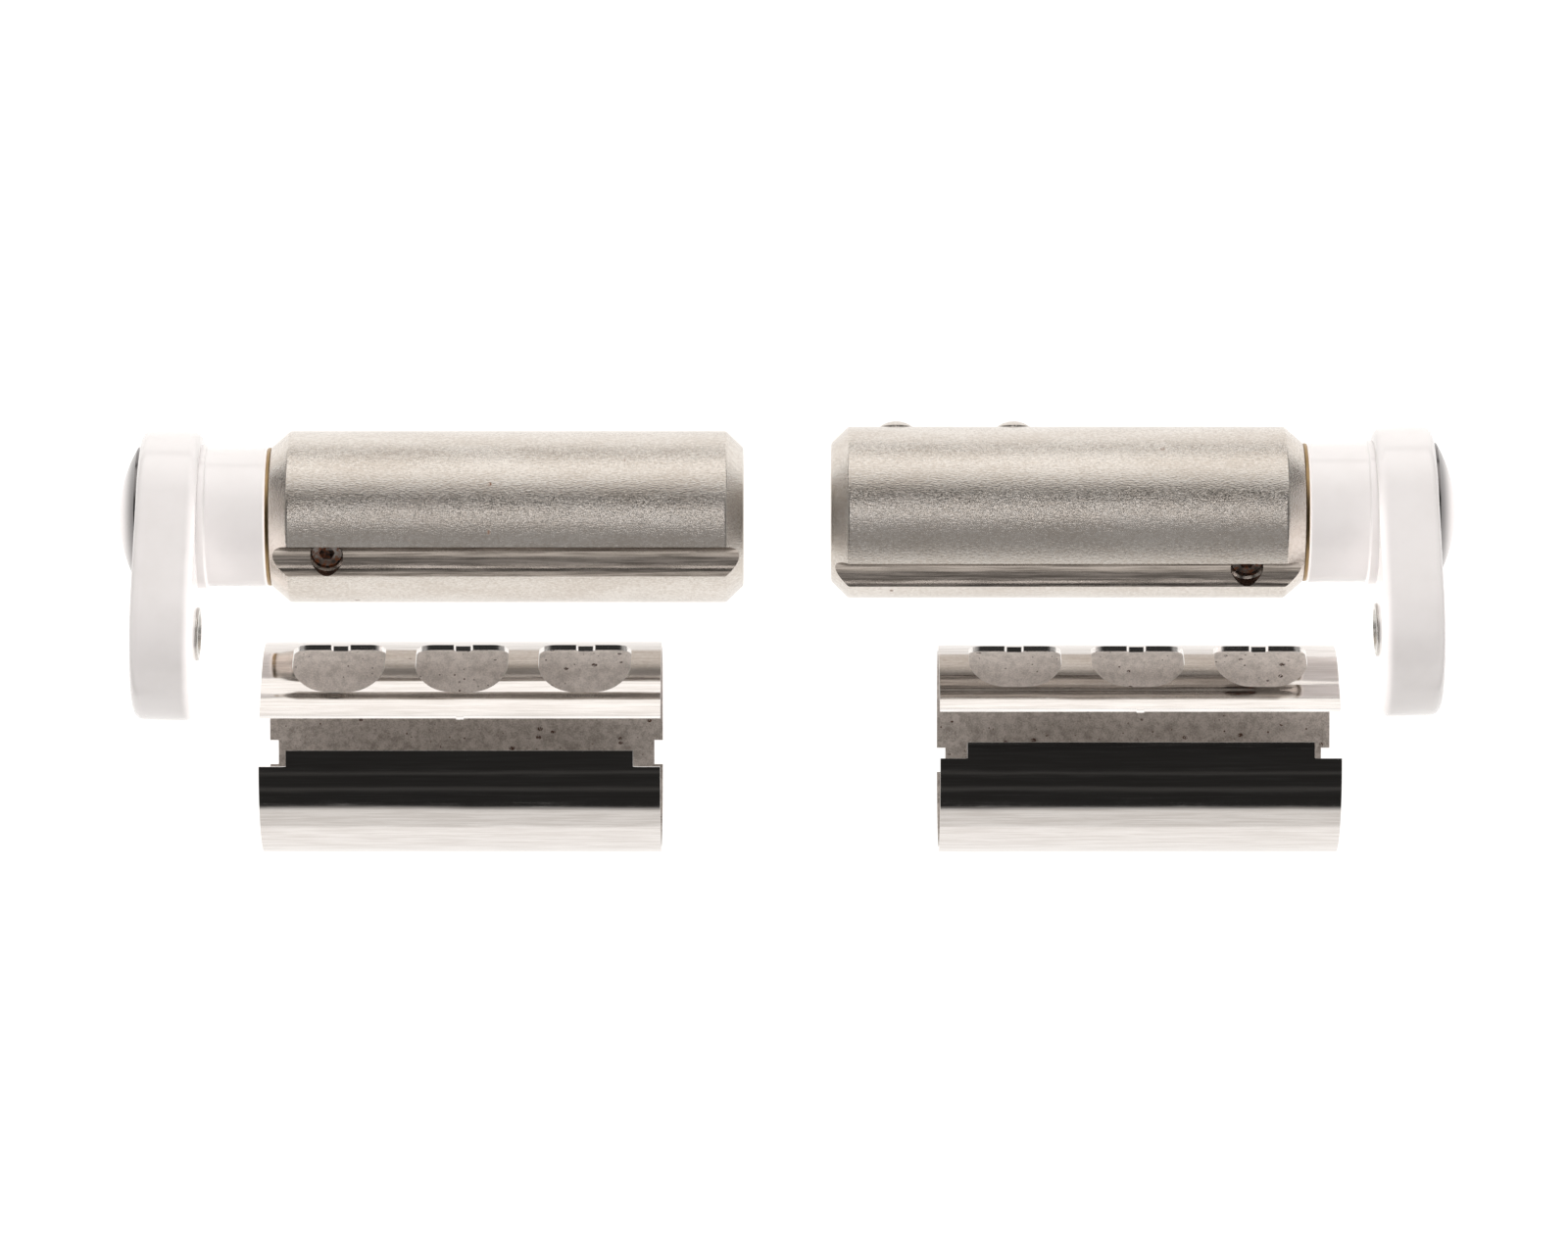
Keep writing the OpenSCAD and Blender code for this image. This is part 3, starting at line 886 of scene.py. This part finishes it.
    def keyway_cutter(self) -> bmesh.types.BMesh:
        """Makes a long bar with the keyway's round section and flared lips.

        Returns:
            The cutter, in hinge coordinates.
        """
        radius = ((self.keyway_w / 2) ** 2 + self.keyway_depth ** 2) / (2 * self.keyway_depth)
        axis = self.barrel_r - self.keyway_depth + radius
        lip_deg = math.degrees(math.acos((axis - self.barrel_r) / radius))
        groove = arc((axis, 0), radius, 180 - lip_deg, 180 + lip_deg, 28)
        lip = self.keyway_lip
        (x0, y0), (x1, y1) = groove[0], groove[-1]
        top = self.barrel_r + 1
        outline = ([(top, y0 + 2 * lip), (x0, y0 + 1.6 * lip), (x0 - lip * 0.6, y0 + lip * 0.3)]
                   + groove[2:-2]
                   + [(x1 - lip * 0.6, y1 - lip * 0.3), (x1, y1 - 1.6 * lip), (top, y1 - 2 * lip)])
        return turned(slab(outline, -1, self.length + 1),
                      Matrix.Rotation(math.radians(self.keyway_deg), 4, "X"))

    def screw_hole_cutter(self) -> bmesh.types.BMesh:
        """Makes a pin as wide as the screw hole, with a small countersink at the keyway's bottom.

        Returns:
            The cutter, in hinge coordinates.
        """
        r, floor = self.screw_hole_r, self.barrel_r - self.keyway_depth
        wide, start, end = r + self.countersink, self.bore_r - 1, self.barrel_r + 1
        pin = lathe([(start, 0), (start, r), (floor - 0.12, r), (floor + 0.1, wide), (end, wide), (end, 0)],
                    closed=False, steps=64)
        return turned(pin, self.radial(self.keyway_deg, self.length - self.screw_from_arm_end))

    def rivets(self) -> None:
        """Two domed heads on the barrel's back."""
        heads = bmesh.new()
        dome_r = (self.rivet_r ** 2 + self.rivet_h ** 2) / (2 * self.rivet_h)
        rim_deg = math.degrees(math.asin(self.rivet_r / dome_r))
        axis = self.barrel_r + self.rivet_h - dome_r
        dome = arc((axis, 0), dome_r, 0, rim_deg, 12)
        foot = [(self.barrel_r - 0.25, self.rivet_r), (self.bore_r, self.rivet_shank_r), (self.bore_r, 0)]
        for at in self.rivet_at:
            head = turned(lathe(dome + foot, closed=False, steps=48),
                          self.radial(self.keyway_deg - self.rivet_row_deg, at))
            part = bpy.data.meshes.new("rivet")
            head.to_mesh(part)
            head.free()
            heads.from_mesh(part)
            bpy.data.meshes.remove(part)
        self.put("rivets", heads, RIVET, False)

    def thrust_washer(self) -> None:
        """The thin washer between barrel and boss."""
        low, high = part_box(self.node("thrust_washer"))
        start, end = self.length, self.length + (high.x - low.x) / MM
        inner, outer = 3.6, self.boss_r - 0.1
        ring = softened([(start, inner), (start, outer), (end, outer), (end, inner)], 0.06)
        self.put("thrust_washer", lathe(ring), WASHER, False)

    def pear(self) -> list[Point]:
        """Draws the plate's outline: two rounds joined by their tangents.

        Returns:
            Its (y, z) points.
        """
        taper = 180 - self.arm_deg
        far = (self.reach * math.cos(math.radians(self.arm_deg)),
               self.reach * math.sin(math.radians(self.arm_deg)))
        head = arc((0, 0), self.head_r, -90, 90 - 2 * taper, 44)
        lobe = arc(far, self.lobe_r, 90 - 2 * taper, 270, 52)
        return head + lobe

    def plate(self) -> bmesh.types.BMesh:
        """Makes the arm's plate, with rounded edges and a crowned outer face.

        Returns:
            The mesh, square to the hinge line.
        """
        bm = slab(self.pear(), self.arm_start, self.arm_end)
        rims = [e for e in bm.edges if abs(e.verts[0].co.x - e.verts[1].co.x) < MERGE]
        bmesh.ops.bevel(bm, geom=rims, offset=self.edge_r * MM, offset_type="OFFSET", segments=7,
                        profile=0.5, affect="EDGES", material=-1, clamp_overlap=True)
        outer = max(bm.faces, key=lambda face: face.calc_center_median().x + face.calc_area())
        for k in range(self.crown_rings):
            bmesh.ops.inset_region(bm, faces=[outer], thickness=self.crown_spread * MM,
                                   use_even_offset=True)
            now, then = (1 - (1 - i / self.crown_rings) ** 2 for i in (k, k + 1))
            bmesh.ops.translate(bm, verts=outer.verts, vec=(self.crown * (then - now) * MM, 0, 0))
        # A narrow ring round the inner face keeps its shading flat beside the rounded edge
        inner = min(bm.faces, key=lambda face: face.calc_center_median().x - face.calc_area())
        bmesh.ops.inset_region(bm, faces=[inner], thickness=0.15 * MM, use_even_offset=True)
        return bm

    def boss(self) -> bmesh.types.BMesh:
        """Makes the boss between barrel and plate, with a wider foot.

        Returns:
            The mesh.
        """
        start, root, foot_r = self.length + self.boss_gap, self.arm_start, self.boss_r + self.boss_foot
        return lathe(softened([
            (start, self.bush_bore_r), (start, self.boss_r), (root - 0.75, self.boss_r),
            (root - 0.6, foot_r), (root + 1.5, foot_r), (root + 1.5, self.bush_bore_r)], 0.22))

    def arm_cutters(self) -> list[bmesh.types.BMesh]:
        """Makes the cutters for the cap's flat seat, the shaft's stepped bore and the insert's hole.

        Returns:
            The three cutters.
        """
        root, end, step = self.arm_start, self.arm_end, self.arm_start + 3.0
        flat_r, hole_r = self.cap_r + 0.1, self.insert_r + self.insert_play
        flat = lathe([(end, 0), (end, flat_r), (end + 1, flat_r), (end + 1, 0)], closed=False)
        bore = lathe([(self.length, 0), (self.length, self.bush_bore_r), (step, self.bush_bore_r),
                      (step, self.shaft_end_r), (end + 0.5, self.shaft_end_r), (end + 0.5, 0)],
                     closed=False, steps=64)
        bottom = root + self.insert_len + 0.1
        hole = lathe([(root - 1, 0), (root - 1, hole_r), (bottom, hole_r), (bottom, 0)],
                     closed=False, steps=64)
        return [flat, bore, turned(hole, self.insert_place)]

    def arm(self) -> None:
        """The white arm: plate and boss in one moulding, bored for the shaft and the insert."""
        piece = solid("plate", turned(self.plate(), self.seat @ self.leaned), [WHITE])
        combine(piece, [solid("boss", turned(self.boss(), self.seat), [WHITE])], Cutting.ADD)
        tools = [solid("cutter", turned(bm, self.seat), [WHITE]) for bm in self.arm_cutters()]
        combine(piece, tools, Cutting.REMOVE)
        piece.name = self.node("arm") + "_look"
        finish_piece(piece, self.body(True), self.node("arm"))

    @property
    def insert_place(self) -> Matrix:
        """Moves a mesh on the hinge line to the insert's axis.

        Returns:
            The matrix, in hinge coordinates.
        """
        along = math.radians(self.arm_deg)
        reach = self.insert_reach * MM
        return self.leaned @ Matrix.Translation((0, reach * math.cos(along), reach * math.sin(along)))

    def arm_insert(self) -> None:
        """The flanged insert, with a thread in its bore."""
        root, end, face = self.arm_start, self.arm_start + self.insert_len, self.arm_start - self.flange_t
        thread = [(face, 2.0)]
        for k in range(int((self.insert_len - 0.4) / self.thread_pitch)):
            x = root + 0.1 + k * self.thread_pitch
            thread += [(x, self.thread_crest_r), (x + self.thread_pitch / 2, self.thread_groove_r)]
        bevel = 0.08
        body = [(end, self.thread_crest_r), (end, self.insert_r), (root, self.insert_r),
                (root, self.flange_r), (face + bevel, self.flange_r), (face, self.flange_r - bevel)]
        bm = turned(lathe(thread + body, steps=64), self.insert_place)
        self.put("arm_insert", bm, INSERT, True)

    def domed_cap(self) -> None:
        """The polished cap on the arm's outer face, with a short straight rim and a spigot."""
        spigot_r, spigot_len = 2.22, 1.05
        height = self.cap_h - self.cap_rim
        dome_r = (self.cap_r ** 2 + height ** 2) / (2 * height)
        half_deg = math.degrees(math.asin(self.cap_r / dome_r))
        base = self.arm_end
        dome = arc((base + self.cap_h - dome_r, 0), dome_r, 0, half_deg, 24)
        foot = [(base, self.cap_r), (base, spigot_r), (base + spigot_len, spigot_r), (base + spigot_len, 0)]
        self.put("domed_cap", lathe(dome + foot, closed=False), CAP, True)


def dress(node: str, finish: Finish) -> None:
    """Gives a CAD node that stays in the model its finish.

    Args:
        node: the CAD node.
        finish: its finish.
    """
    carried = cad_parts[node]
    made = finish.material()
    if not carried.material_slots:
        carried.data.materials.append(made)
    for place in carried.material_slots:
        place.material = made
    log.info("%s: dressed as %s", node, finish.name)


# ---------------------------------------------------------------- the spring sleeves


@dataclass
class SpringSleeve:
    """One spring sleeve: a flat blank is punched, then rolled to its section."""

    side: Side
    roll_deg: float
    bore_r: float = 8.0
    sheet: float = 0.5
    back_r: float = 10.4
    back_reach: float = 11.17
    crease_y: float = 6.5
    corner_r: float = 4.4
    slot_start_deg: float = 7.6
    slot_deg: float = 23.0
    notch_len: float = 2.5
    notch_deg: float = 10.2
    window_w: float = 8.6
    window_pitch: float = 11.45
    window_foot_deg: float = 76.0
    window_front_r: float = 3.4
    window_back_r: float = 1.6
    tab_w: float = 1.7
    tab_h: float = 0.45
    nib_w: float = 0.7
    nib_h: float = 0.12
    nick_from_top_deg: float = 177.0
    nick_w: float = 2.38
    nick_len: float = 0.8
    edge_r: float = 0.11
    strips: int = 220
    fold_reach: float = 0.9
    length: float = field(init=False)
    middle: Vector = field(init=False)
    stretches: list[tuple[float, float]] = field(init=False)
    start: Vector = field(init=False)

    def __post_init__(self) -> None:
        """Works out the section as a chain of arcs, each a length and a turn."""
        node = f"{self.side.word}_sleeve"
        low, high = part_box(node)
        self.length = (high.x - low.x) / MM
        outer = self.outer_r
        self.middle = Vector(((low.x + high.x) / 2, low.y + outer * MM, low.z + outer * MM))
        self.start = Vector((outer * math.sin(math.radians(self.slot_start_deg)),
                             outer * math.cos(math.radians(self.slot_start_deg))))
        axis_y, axis_z = self.back_reach - self.back_r, self.back_axis_z
        corner_y = self.back_reach - self.corner_r
        base = (math.degrees(math.asin((outer - self.corner_r) / math.hypot(corner_y, axis_z)))
                - math.degrees(math.atan2(-axis_z, corner_y)))
        foot = math.radians(base - 90)
        line = math.hypot(corner_y + (self.corner_r - outer) * math.cos(foot),
                          axis_z + (self.corner_r - outer) * math.sin(foot))
        crease_deg = math.degrees(math.acos((self.crease_y - axis_y) / self.back_r))
        lip_start = math.degrees(math.acos(self.crease_y / outer))
        lip_deg = 90 - self.slot_start_deg - self.slot_deg - lip_start
        fold = lip_start - crease_deg
        half_fold = self.fold_reach / 2
        back_share = math.degrees(half_fold / self.back_r)
        lip_share = math.degrees(half_fold / outer)
        around = 90 + self.slot_start_deg + 90 + base
        # In turn: the round front, bottom and back; a flat; the corner; the bulge; the crease; the lip
        self.stretches = [
            (math.radians(around) * outer, around),
            (line, 0.0),
            (math.radians(90 - base) * self.corner_r, 90 - base),
            (math.radians(crease_deg) * self.back_r - half_fold, crease_deg - back_share),
            (self.fold_reach, fold + back_share + lip_share),
            (math.radians(lip_deg) * outer - half_fold, lip_deg - lip_share),
        ]

    @property
    def outer_r(self) -> float:
        """Radius of the sleeve's round outside."""
        return self.bore_r + self.sheet

    @property
    def back_axis_z(self) -> float:
        """Height of the bulge's centre over the bore's axis."""
        return (math.sqrt(self.outer_r ** 2 - self.crease_y ** 2)
                - math.sqrt(self.back_r ** 2 - (self.crease_y - self.back_reach + self.back_r) ** 2))

    def at(self, s: float, depth: float) -> Point:
        """Where a point of the flat sheet goes when the sheet is rolled.

        Args:
            s: how far round from the slot's first edge, in millimetres.
            depth: how far in from the outer face.
        Returns:
            Its place round the bore's axis, towards the back and up.
        """
        place, heading = self.start.copy(), 180 - self.slot_start_deg
        last = len(self.stretches) - 1
        for i, (reach, turn) in enumerate(self.stretches):
            go = s if i == last else min(s, reach)
            bend = math.radians(turn) * go / reach
            chord = go * (math.sin(bend / 2) / (bend / 2) if abs(bend) > 1e-9 else 1.0)
            middle = math.radians(heading) + bend / 2
            place = place + Vector((math.cos(middle), math.sin(middle))) * chord
            heading += math.degrees(bend)
            s -= go
            if s <= 0 and i != last:
                break
        inward = math.radians(heading + 90)
        return place.x + depth * math.cos(inward), place.y + depth * math.sin(inward)

    @property
    def reach(self) -> float:
        """Length of the flat sheet round the section."""
        return sum(length for length, _ in self.stretches)

    @property
    def crease_at(self) -> float:
        """How far round the crease lies."""
        return sum(length for length, _ in self.stretches[:4]) + self.fold_reach / 2

    def blank(self) -> bmesh.types.BMesh:
        """Makes the flat sheet. X goes round the section, Y along the sleeve and Z inwards.

        Returns:
            The mesh, with a nib's width to spare on its last edge.
        """
        bm = bmesh.new()
        total = (self.reach + self.nib_h) * MM
        bmesh.ops.create_grid(bm, x_segments=self.strips, y_segments=1, size=0.5)
        bmesh.ops.transform(bm, verts=bm.verts, matrix=Matrix.Translation((total / 2, 0, 0))
                            @ Matrix.Diagonal((total, self.length * MM, 1, 1)))
        grown = bmesh.ops.extrude_face_region(bm, geom=list(bm.faces), use_keep_orig=True)["geom"]
        lifted = [part for part in grown if isinstance(part, bmesh.types.BMVert)]
        bmesh.ops.translate(bm, verts=lifted, vec=(0, 0, self.sheet * MM))
        bmesh.ops.recalc_face_normals(bm, faces=bm.faces)
        return bm

    def punch(self, outline: Sequence[Point]) -> bpy.types.Object:
        """Makes a cutter through the flat sheet.

        Args:
            outline: (round, along) points in millimetres.
        Returns:
            The cutter.
        """
        bm = turned(slab(outline, -1, 1 + self.sheet),
                    Matrix(((0, 1, 0, 0), (0, 0, 1, 0), (1, 0, 0, 0), (0, 0, 0, 1))))
        return solid("punch", bm, [SHEET_OUTSIDE])

    def box_punch(self, s0: float, s1: float, x0: float, x1: float) -> bpy.types.Object:
        """A rectangular cutter."""
        return self.punch([(s0, x0), (s1, x0), (s1, x1), (s0, x1)])

    def window(self, middle: float) -> list[Point]:
        """Draws a window: wide rounds at the crease, and a small tab on its far edge.

        Args:
            middle: where its middle lies along the sleeve.
        Returns:
            Its (round, along) points.
        """
        half, front, back = self.window_w / 2, self.window_front_r, self.window_back_r
        crease = self.crease_at
        crease_deg = math.degrees(math.acos((self.crease_y - self.back_reach + self.back_r) / self.back_r))
        foot = crease - self.back_r * math.radians(crease_deg - 90 + self.window_foot_deg)
        outline = arc((crease - front, half - front), front, 90, 0, 14)
        outline += arc((crease - front, front - half), front, 0, -90, 14)
        outline += arc((foot + back, back - half), back, -90, -180, 9)
        tab_w, tab_h = self.tab_w / 2, self.tab_h
        outline += softened([(foot, -tab_w - tab_h), (foot, -tab_w), (foot + tab_h, -tab_w * 0.86),
                             (foot + tab_h, tab_w * 0.86), (foot, tab_w), (foot, tab_w + tab_h)],
                            0.25, closed=False)
        outline += arc((foot + back, half - back), back, 180, 90, 9)
        return [(s, x + middle) for s, x in outline]

    def punches(self) -> list[bpy.types.Object]:
        """Makes the cutters for the windows, the notches, the nicks and the lip's edge.

        Returns:
            The cutters.
        """
        half, far = self.length / 2, self.length
        notch = self.outer_r * math.radians(self.notch_deg)
        nick = self.outer_r * math.radians(self.nick_from_top_deg + self.slot_start_deg)
        made = [self.punch(self.window(i * self.window_pitch)) for i in (-1, 0, 1)]
        for end in (-1, 1):
            inner, outer = end * (half - self.notch_len), end * far
            # The notch is cut past the sheet's edge, and its inner corner is slightly broken
            corner = [(-2, outer), (-2, inner), (notch * 0.98, inner), (notch, inner + end * 0.3),
                      (notch, outer)]
            made.append(self.punch(corner))
            made.append(self.box_punch(nick, nick + self.nick_w, end * (half - self.nick_len), outer))
            made.append(self.box_punch(self.reach, self.reach + 2, end * self.nib_w / 2, outer))
        return made

    def layer(self, face: bmesh.types.BMFace) -> Layer:
        """Tells which surface of the flat sheet a face belongs to.

        Args:
            face: the face.
        Returns:
            Its layer.
        """
        depths = [vert.co.z / MM for vert in face.verts]
        if min(depths) > self.sheet - 0.01:
            return Layer.INSIDE
        return Layer.OUTSIDE if max(depths) < 0.01 else Layer.EDGE

    def build(self) -> None:
        """Punches the blank, softens its sheared edges and rolls it."""
        name = f"{self.side.word}_sleeve"
        piece = solid(name + "_look", self.blank(), [SHEET_OUTSIDE, SHEET_INSIDE, SHEET_EDGE])
        combine(piece, self.punches(), Cutting.REMOVE)
        bm = bmesh.new()
        bm.from_mesh(piece.data)
        square = 1.2  # radians, past which an edge is a sheared one
        rims = [e for e in bm.edges if len(e.link_faces) == 2 and e.calc_face_angle(0) > square
                and abs(e.verts[0].co.z - e.verts[1].co.z) < MERGE]
        bmesh.ops.bevel(bm, geom=rims, offset=self.edge_r * MM, offset_type="OFFSET", segments=3,
                        profile=0.5, affect="EDGES", material=-1, clamp_overlap=True)
        for face in bm.faces:
            face.material_index = self.layer(face).value
        for vert in bm.verts:
            y, z = self.at(vert.co.x / MM, vert.co.z / MM)
            vert.co = Vector((vert.co.y, y * MM, z * MM))
        turned(bm, Matrix.Translation(self.middle) @ Matrix.Rotation(math.radians(-self.roll_deg), 4, "X"))
        bmesh.ops.remove_doubles(bm, verts=bm.verts, dist=MERGE)
        bmesh.ops.recalc_face_normals(bm, faces=bm.faces)
        bm.to_mesh(piece.data)
        bm.free()
        shade(piece, sharp_deg=12)
        piece.visible_glossy = False  # or each barrel would mirror the sleeve that lies beside it
        finish_piece(piece, f"{name}_unit", name)


# ---------------------------------------------------------------- studio


@dataclass(frozen=True)
class Paper(Finish):
    """The pale floor, lit evenly from within so that it stays without shadows."""

    glow: float = 0.95

    def fill(self, tree: Recipe) -> None:
        """Builds the nodes.

        Args:
            tree: the material's empty tree.
        """
        tree.surface({
            "Base Color": (0.3, 0.3, 0.3, 1),
            "Roughness": 0.9,
            "Specular IOR Level": 0.0,
            "Emission Color": (1.0, 0.985, 0.965, 1),
            "Emission Strength": self.glow,
        })


@dataclass(frozen=True)
class Matt(Finish):
    """A plain matt card."""

    shade: float = 0.01

    def fill(self, tree: Recipe) -> None:
        """Builds the nodes.

        Args:
            tree: the material's empty tree.
        """
        tree.surface({"Base Color": (self.shade, self.shade, self.shade, 1), "Roughness": 1.0,
                      "Specular IOR Level": 0.0})


@dataclass(frozen=True)
class Studio:
    """The floor, the sky of soft boxes and dark cloths, the lamps and the camera."""

    camera_at: tuple[float, float, float] = (-0.3, 0.876, 728.0)
    lens: float = 176.7

    def build(self) -> None:
        """Builds the whole studio."""
        self.floor()
        self.sky()
        self.lamps()
        self.camera()
        bpy.context.scene.view_settings.view_transform = "Standard"

    def floor(self) -> None:
        """A wide sheet just under the parts, and dark cloths behind and beside them."""
        bm = bmesh.new()
        bmesh.ops.create_grid(bm, x_segments=1, y_segments=1, size=1.5)
        bmesh.ops.translate(bm, verts=bm.verts, vec=(0, 0, -0.05 * MM))
        solid("floor", bm, [Paper("floor_paper")])
        low = Matrix.Translation((0, 0.11, 0.007)) @ Matrix.Rotation(math.radians(90), 4, "X")
        self.cloth("low_cloth", low @ Matrix.Diagonal((0.6, 0.014, 1, 1)))
        for side in Side:
            flat = Matrix.Translation((side.value * 0.285, 0, 0.0004)) @ Matrix.Diagonal((0.4, 0.8, 1, 1))
            self.cloth(f"{side.word}_cloth", flat)

    def cloth(self, name: str, place: Matrix) -> None:
        """Hangs a dark card that only shows in gloss.

        Args:
            name: the card's name.
            place: what turns a flat metre square into the card.
        """
        bm = bmesh.new()
        bmesh.ops.create_grid(bm, x_segments=1, y_segments=1, size=0.5)
        card = solid(name, turned(bm, place), [Matt("dark_cloth")])
        card.visible_camera = False
        card.visible_shadow = False
        card.visible_diffuse = False

    def sky(self) -> None:
        """The light by direction: a bright box behind, a dark ceiling and a bright front."""
        world = bpy.data.worlds.new("studio")
        world.use_nodes = True
        bpy.context.scene.world = world
        tree = Recipe(world.node_tree)
        axes = tree.node("ShaderNodeSeparateXYZ", None,
                         {0: tree.node("ShaderNodeTexCoord").outputs["Generated"]}).outputs
        x, y, z = (Field(tree, axes[i]) for i in range(3))
        lean = y.angle(z)
        behind = lean.step(22, 46) * (1 - lean.step(87, 91)) * (lean.step(45, 75) * 0.45 + 0.95)
        front = 1 - lean.step(-66, -57)
        seams = lean.band(-16, -12, 1.5) * 0.03 + lean.band(-37, -32, 2) * 0.035
        ceiling = (1 - lean.step(8, 30)) * 0.01 + 0.012 + seams
        across = behind + front * 0.88 + ceiling
        beside = x.absolute().step(0.6, 0.85)
        glow = across * (1 - beside) + beside * 0.35
        seen = Field(tree, tree.node("ShaderNodeLightPath").outputs["Is Camera Ray"])
        shown = glow * (1 - seen) + seen * 0.95
        back = tree.node("ShaderNodeBackground", None,
                         {"Color": (1.0, 0.975, 0.945, 1), "Strength": shown})
        tree.node("ShaderNodeOutputWorld", None, {0: back.outputs[0]})

    def lamps(self) -> None:
        """The lamps: a wide one overhead, two that only the barrels see and one for the arms."""
        wide = self.lamp("wide_lamp", (0, 0.05, 0.9), (0.9, 0.9), 5.7)
        wide.visible_glossy = False
        key = self.lamp("barrel_key", (0, 0.055, 0.7), (0.5, 0.1), 0.36)
        fill = self.lamp("barrel_fill", (0, -0.57, 0.7), (1.0, 1.1), 1.15)
        for lamp in (key, fill):
            self.only_for(lamp, ("barrel", "rivets"))
        inner = self.lamp("arm_inner", (0, -0.004, 0.008), (0.02, 0.02), 0.11)
        inner.data.type = "POINT"
        inner.data.shadow_soft_size = 0.01
        inner.visible_glossy = False
        self.only_for(inner, ("arm",))

    def lamp(self, name: str, at: tuple[float, float, float], size: tuple[float, float],
             power: float) -> bpy.types.Object:
        """Adds one area lamp that shines straight down.

        Args:
            name: the lamp's name.
            at: its place in metres.
            size: its width along X and its height in metres.
            power: its power in watts.
        Returns:
            The lamp's object.
        """
        data = bpy.data.lights.new(name, "AREA")
        data.shape = "RECTANGLE"
        data.size, data.size_y = size
        data.energy = power
        data.color = (1.0, 0.975, 0.96)
        made = bpy.data.objects.new(name, data)
        made.location = at
        made.visible_camera = False
        bpy.context.scene.collection.objects.link(made)
        return made

    def only_for(self, lamp: bpy.types.Object, parts: Iterable[str]) -> None:
        """Lets a lamp light only some parts, and lets only them stand in its way.

        Args:
            lamp: the lamp.
            parts: their names, without a side.
        """
        lit = bpy.data.collections.new(f"{lamp.name}_parts")
        for side in Side:
            for part in parts:
                lit.objects.link(bpy.data.objects[f"{side.word}_{part}_look"])
        lamp.light_linking.receiver_collection = lit
        lamp.light_linking.blocker_collection = lit

    def camera(self) -> None:
        """Looks straight down on the set."""
        data = bpy.data.cameras.new("camera")
        data.sensor_width = 36
        data.lens = self.lens
        data.clip_start = 0.01
        made = bpy.data.objects.new("camera", data)
        made.location = tuple(value * MM for value in self.camera_at)
        bpy.context.scene.collection.objects.link(made)
        bpy.context.scene.camera = made


def main() -> None:
    """Builds the hinges, the sleeves and the studio."""
    logging.basicConfig(level=logging.INFO, format="%(name)s: %(message)s")
    for side in Side:
        Hinge(side).build()
    SpringSleeve(Side.LEFT, roll_deg=0.0).build()
    SpringSleeve(Side.RIGHT, roll_deg=5.3).build()
    Studio().build()


if __name__ == "__main__":
    main()
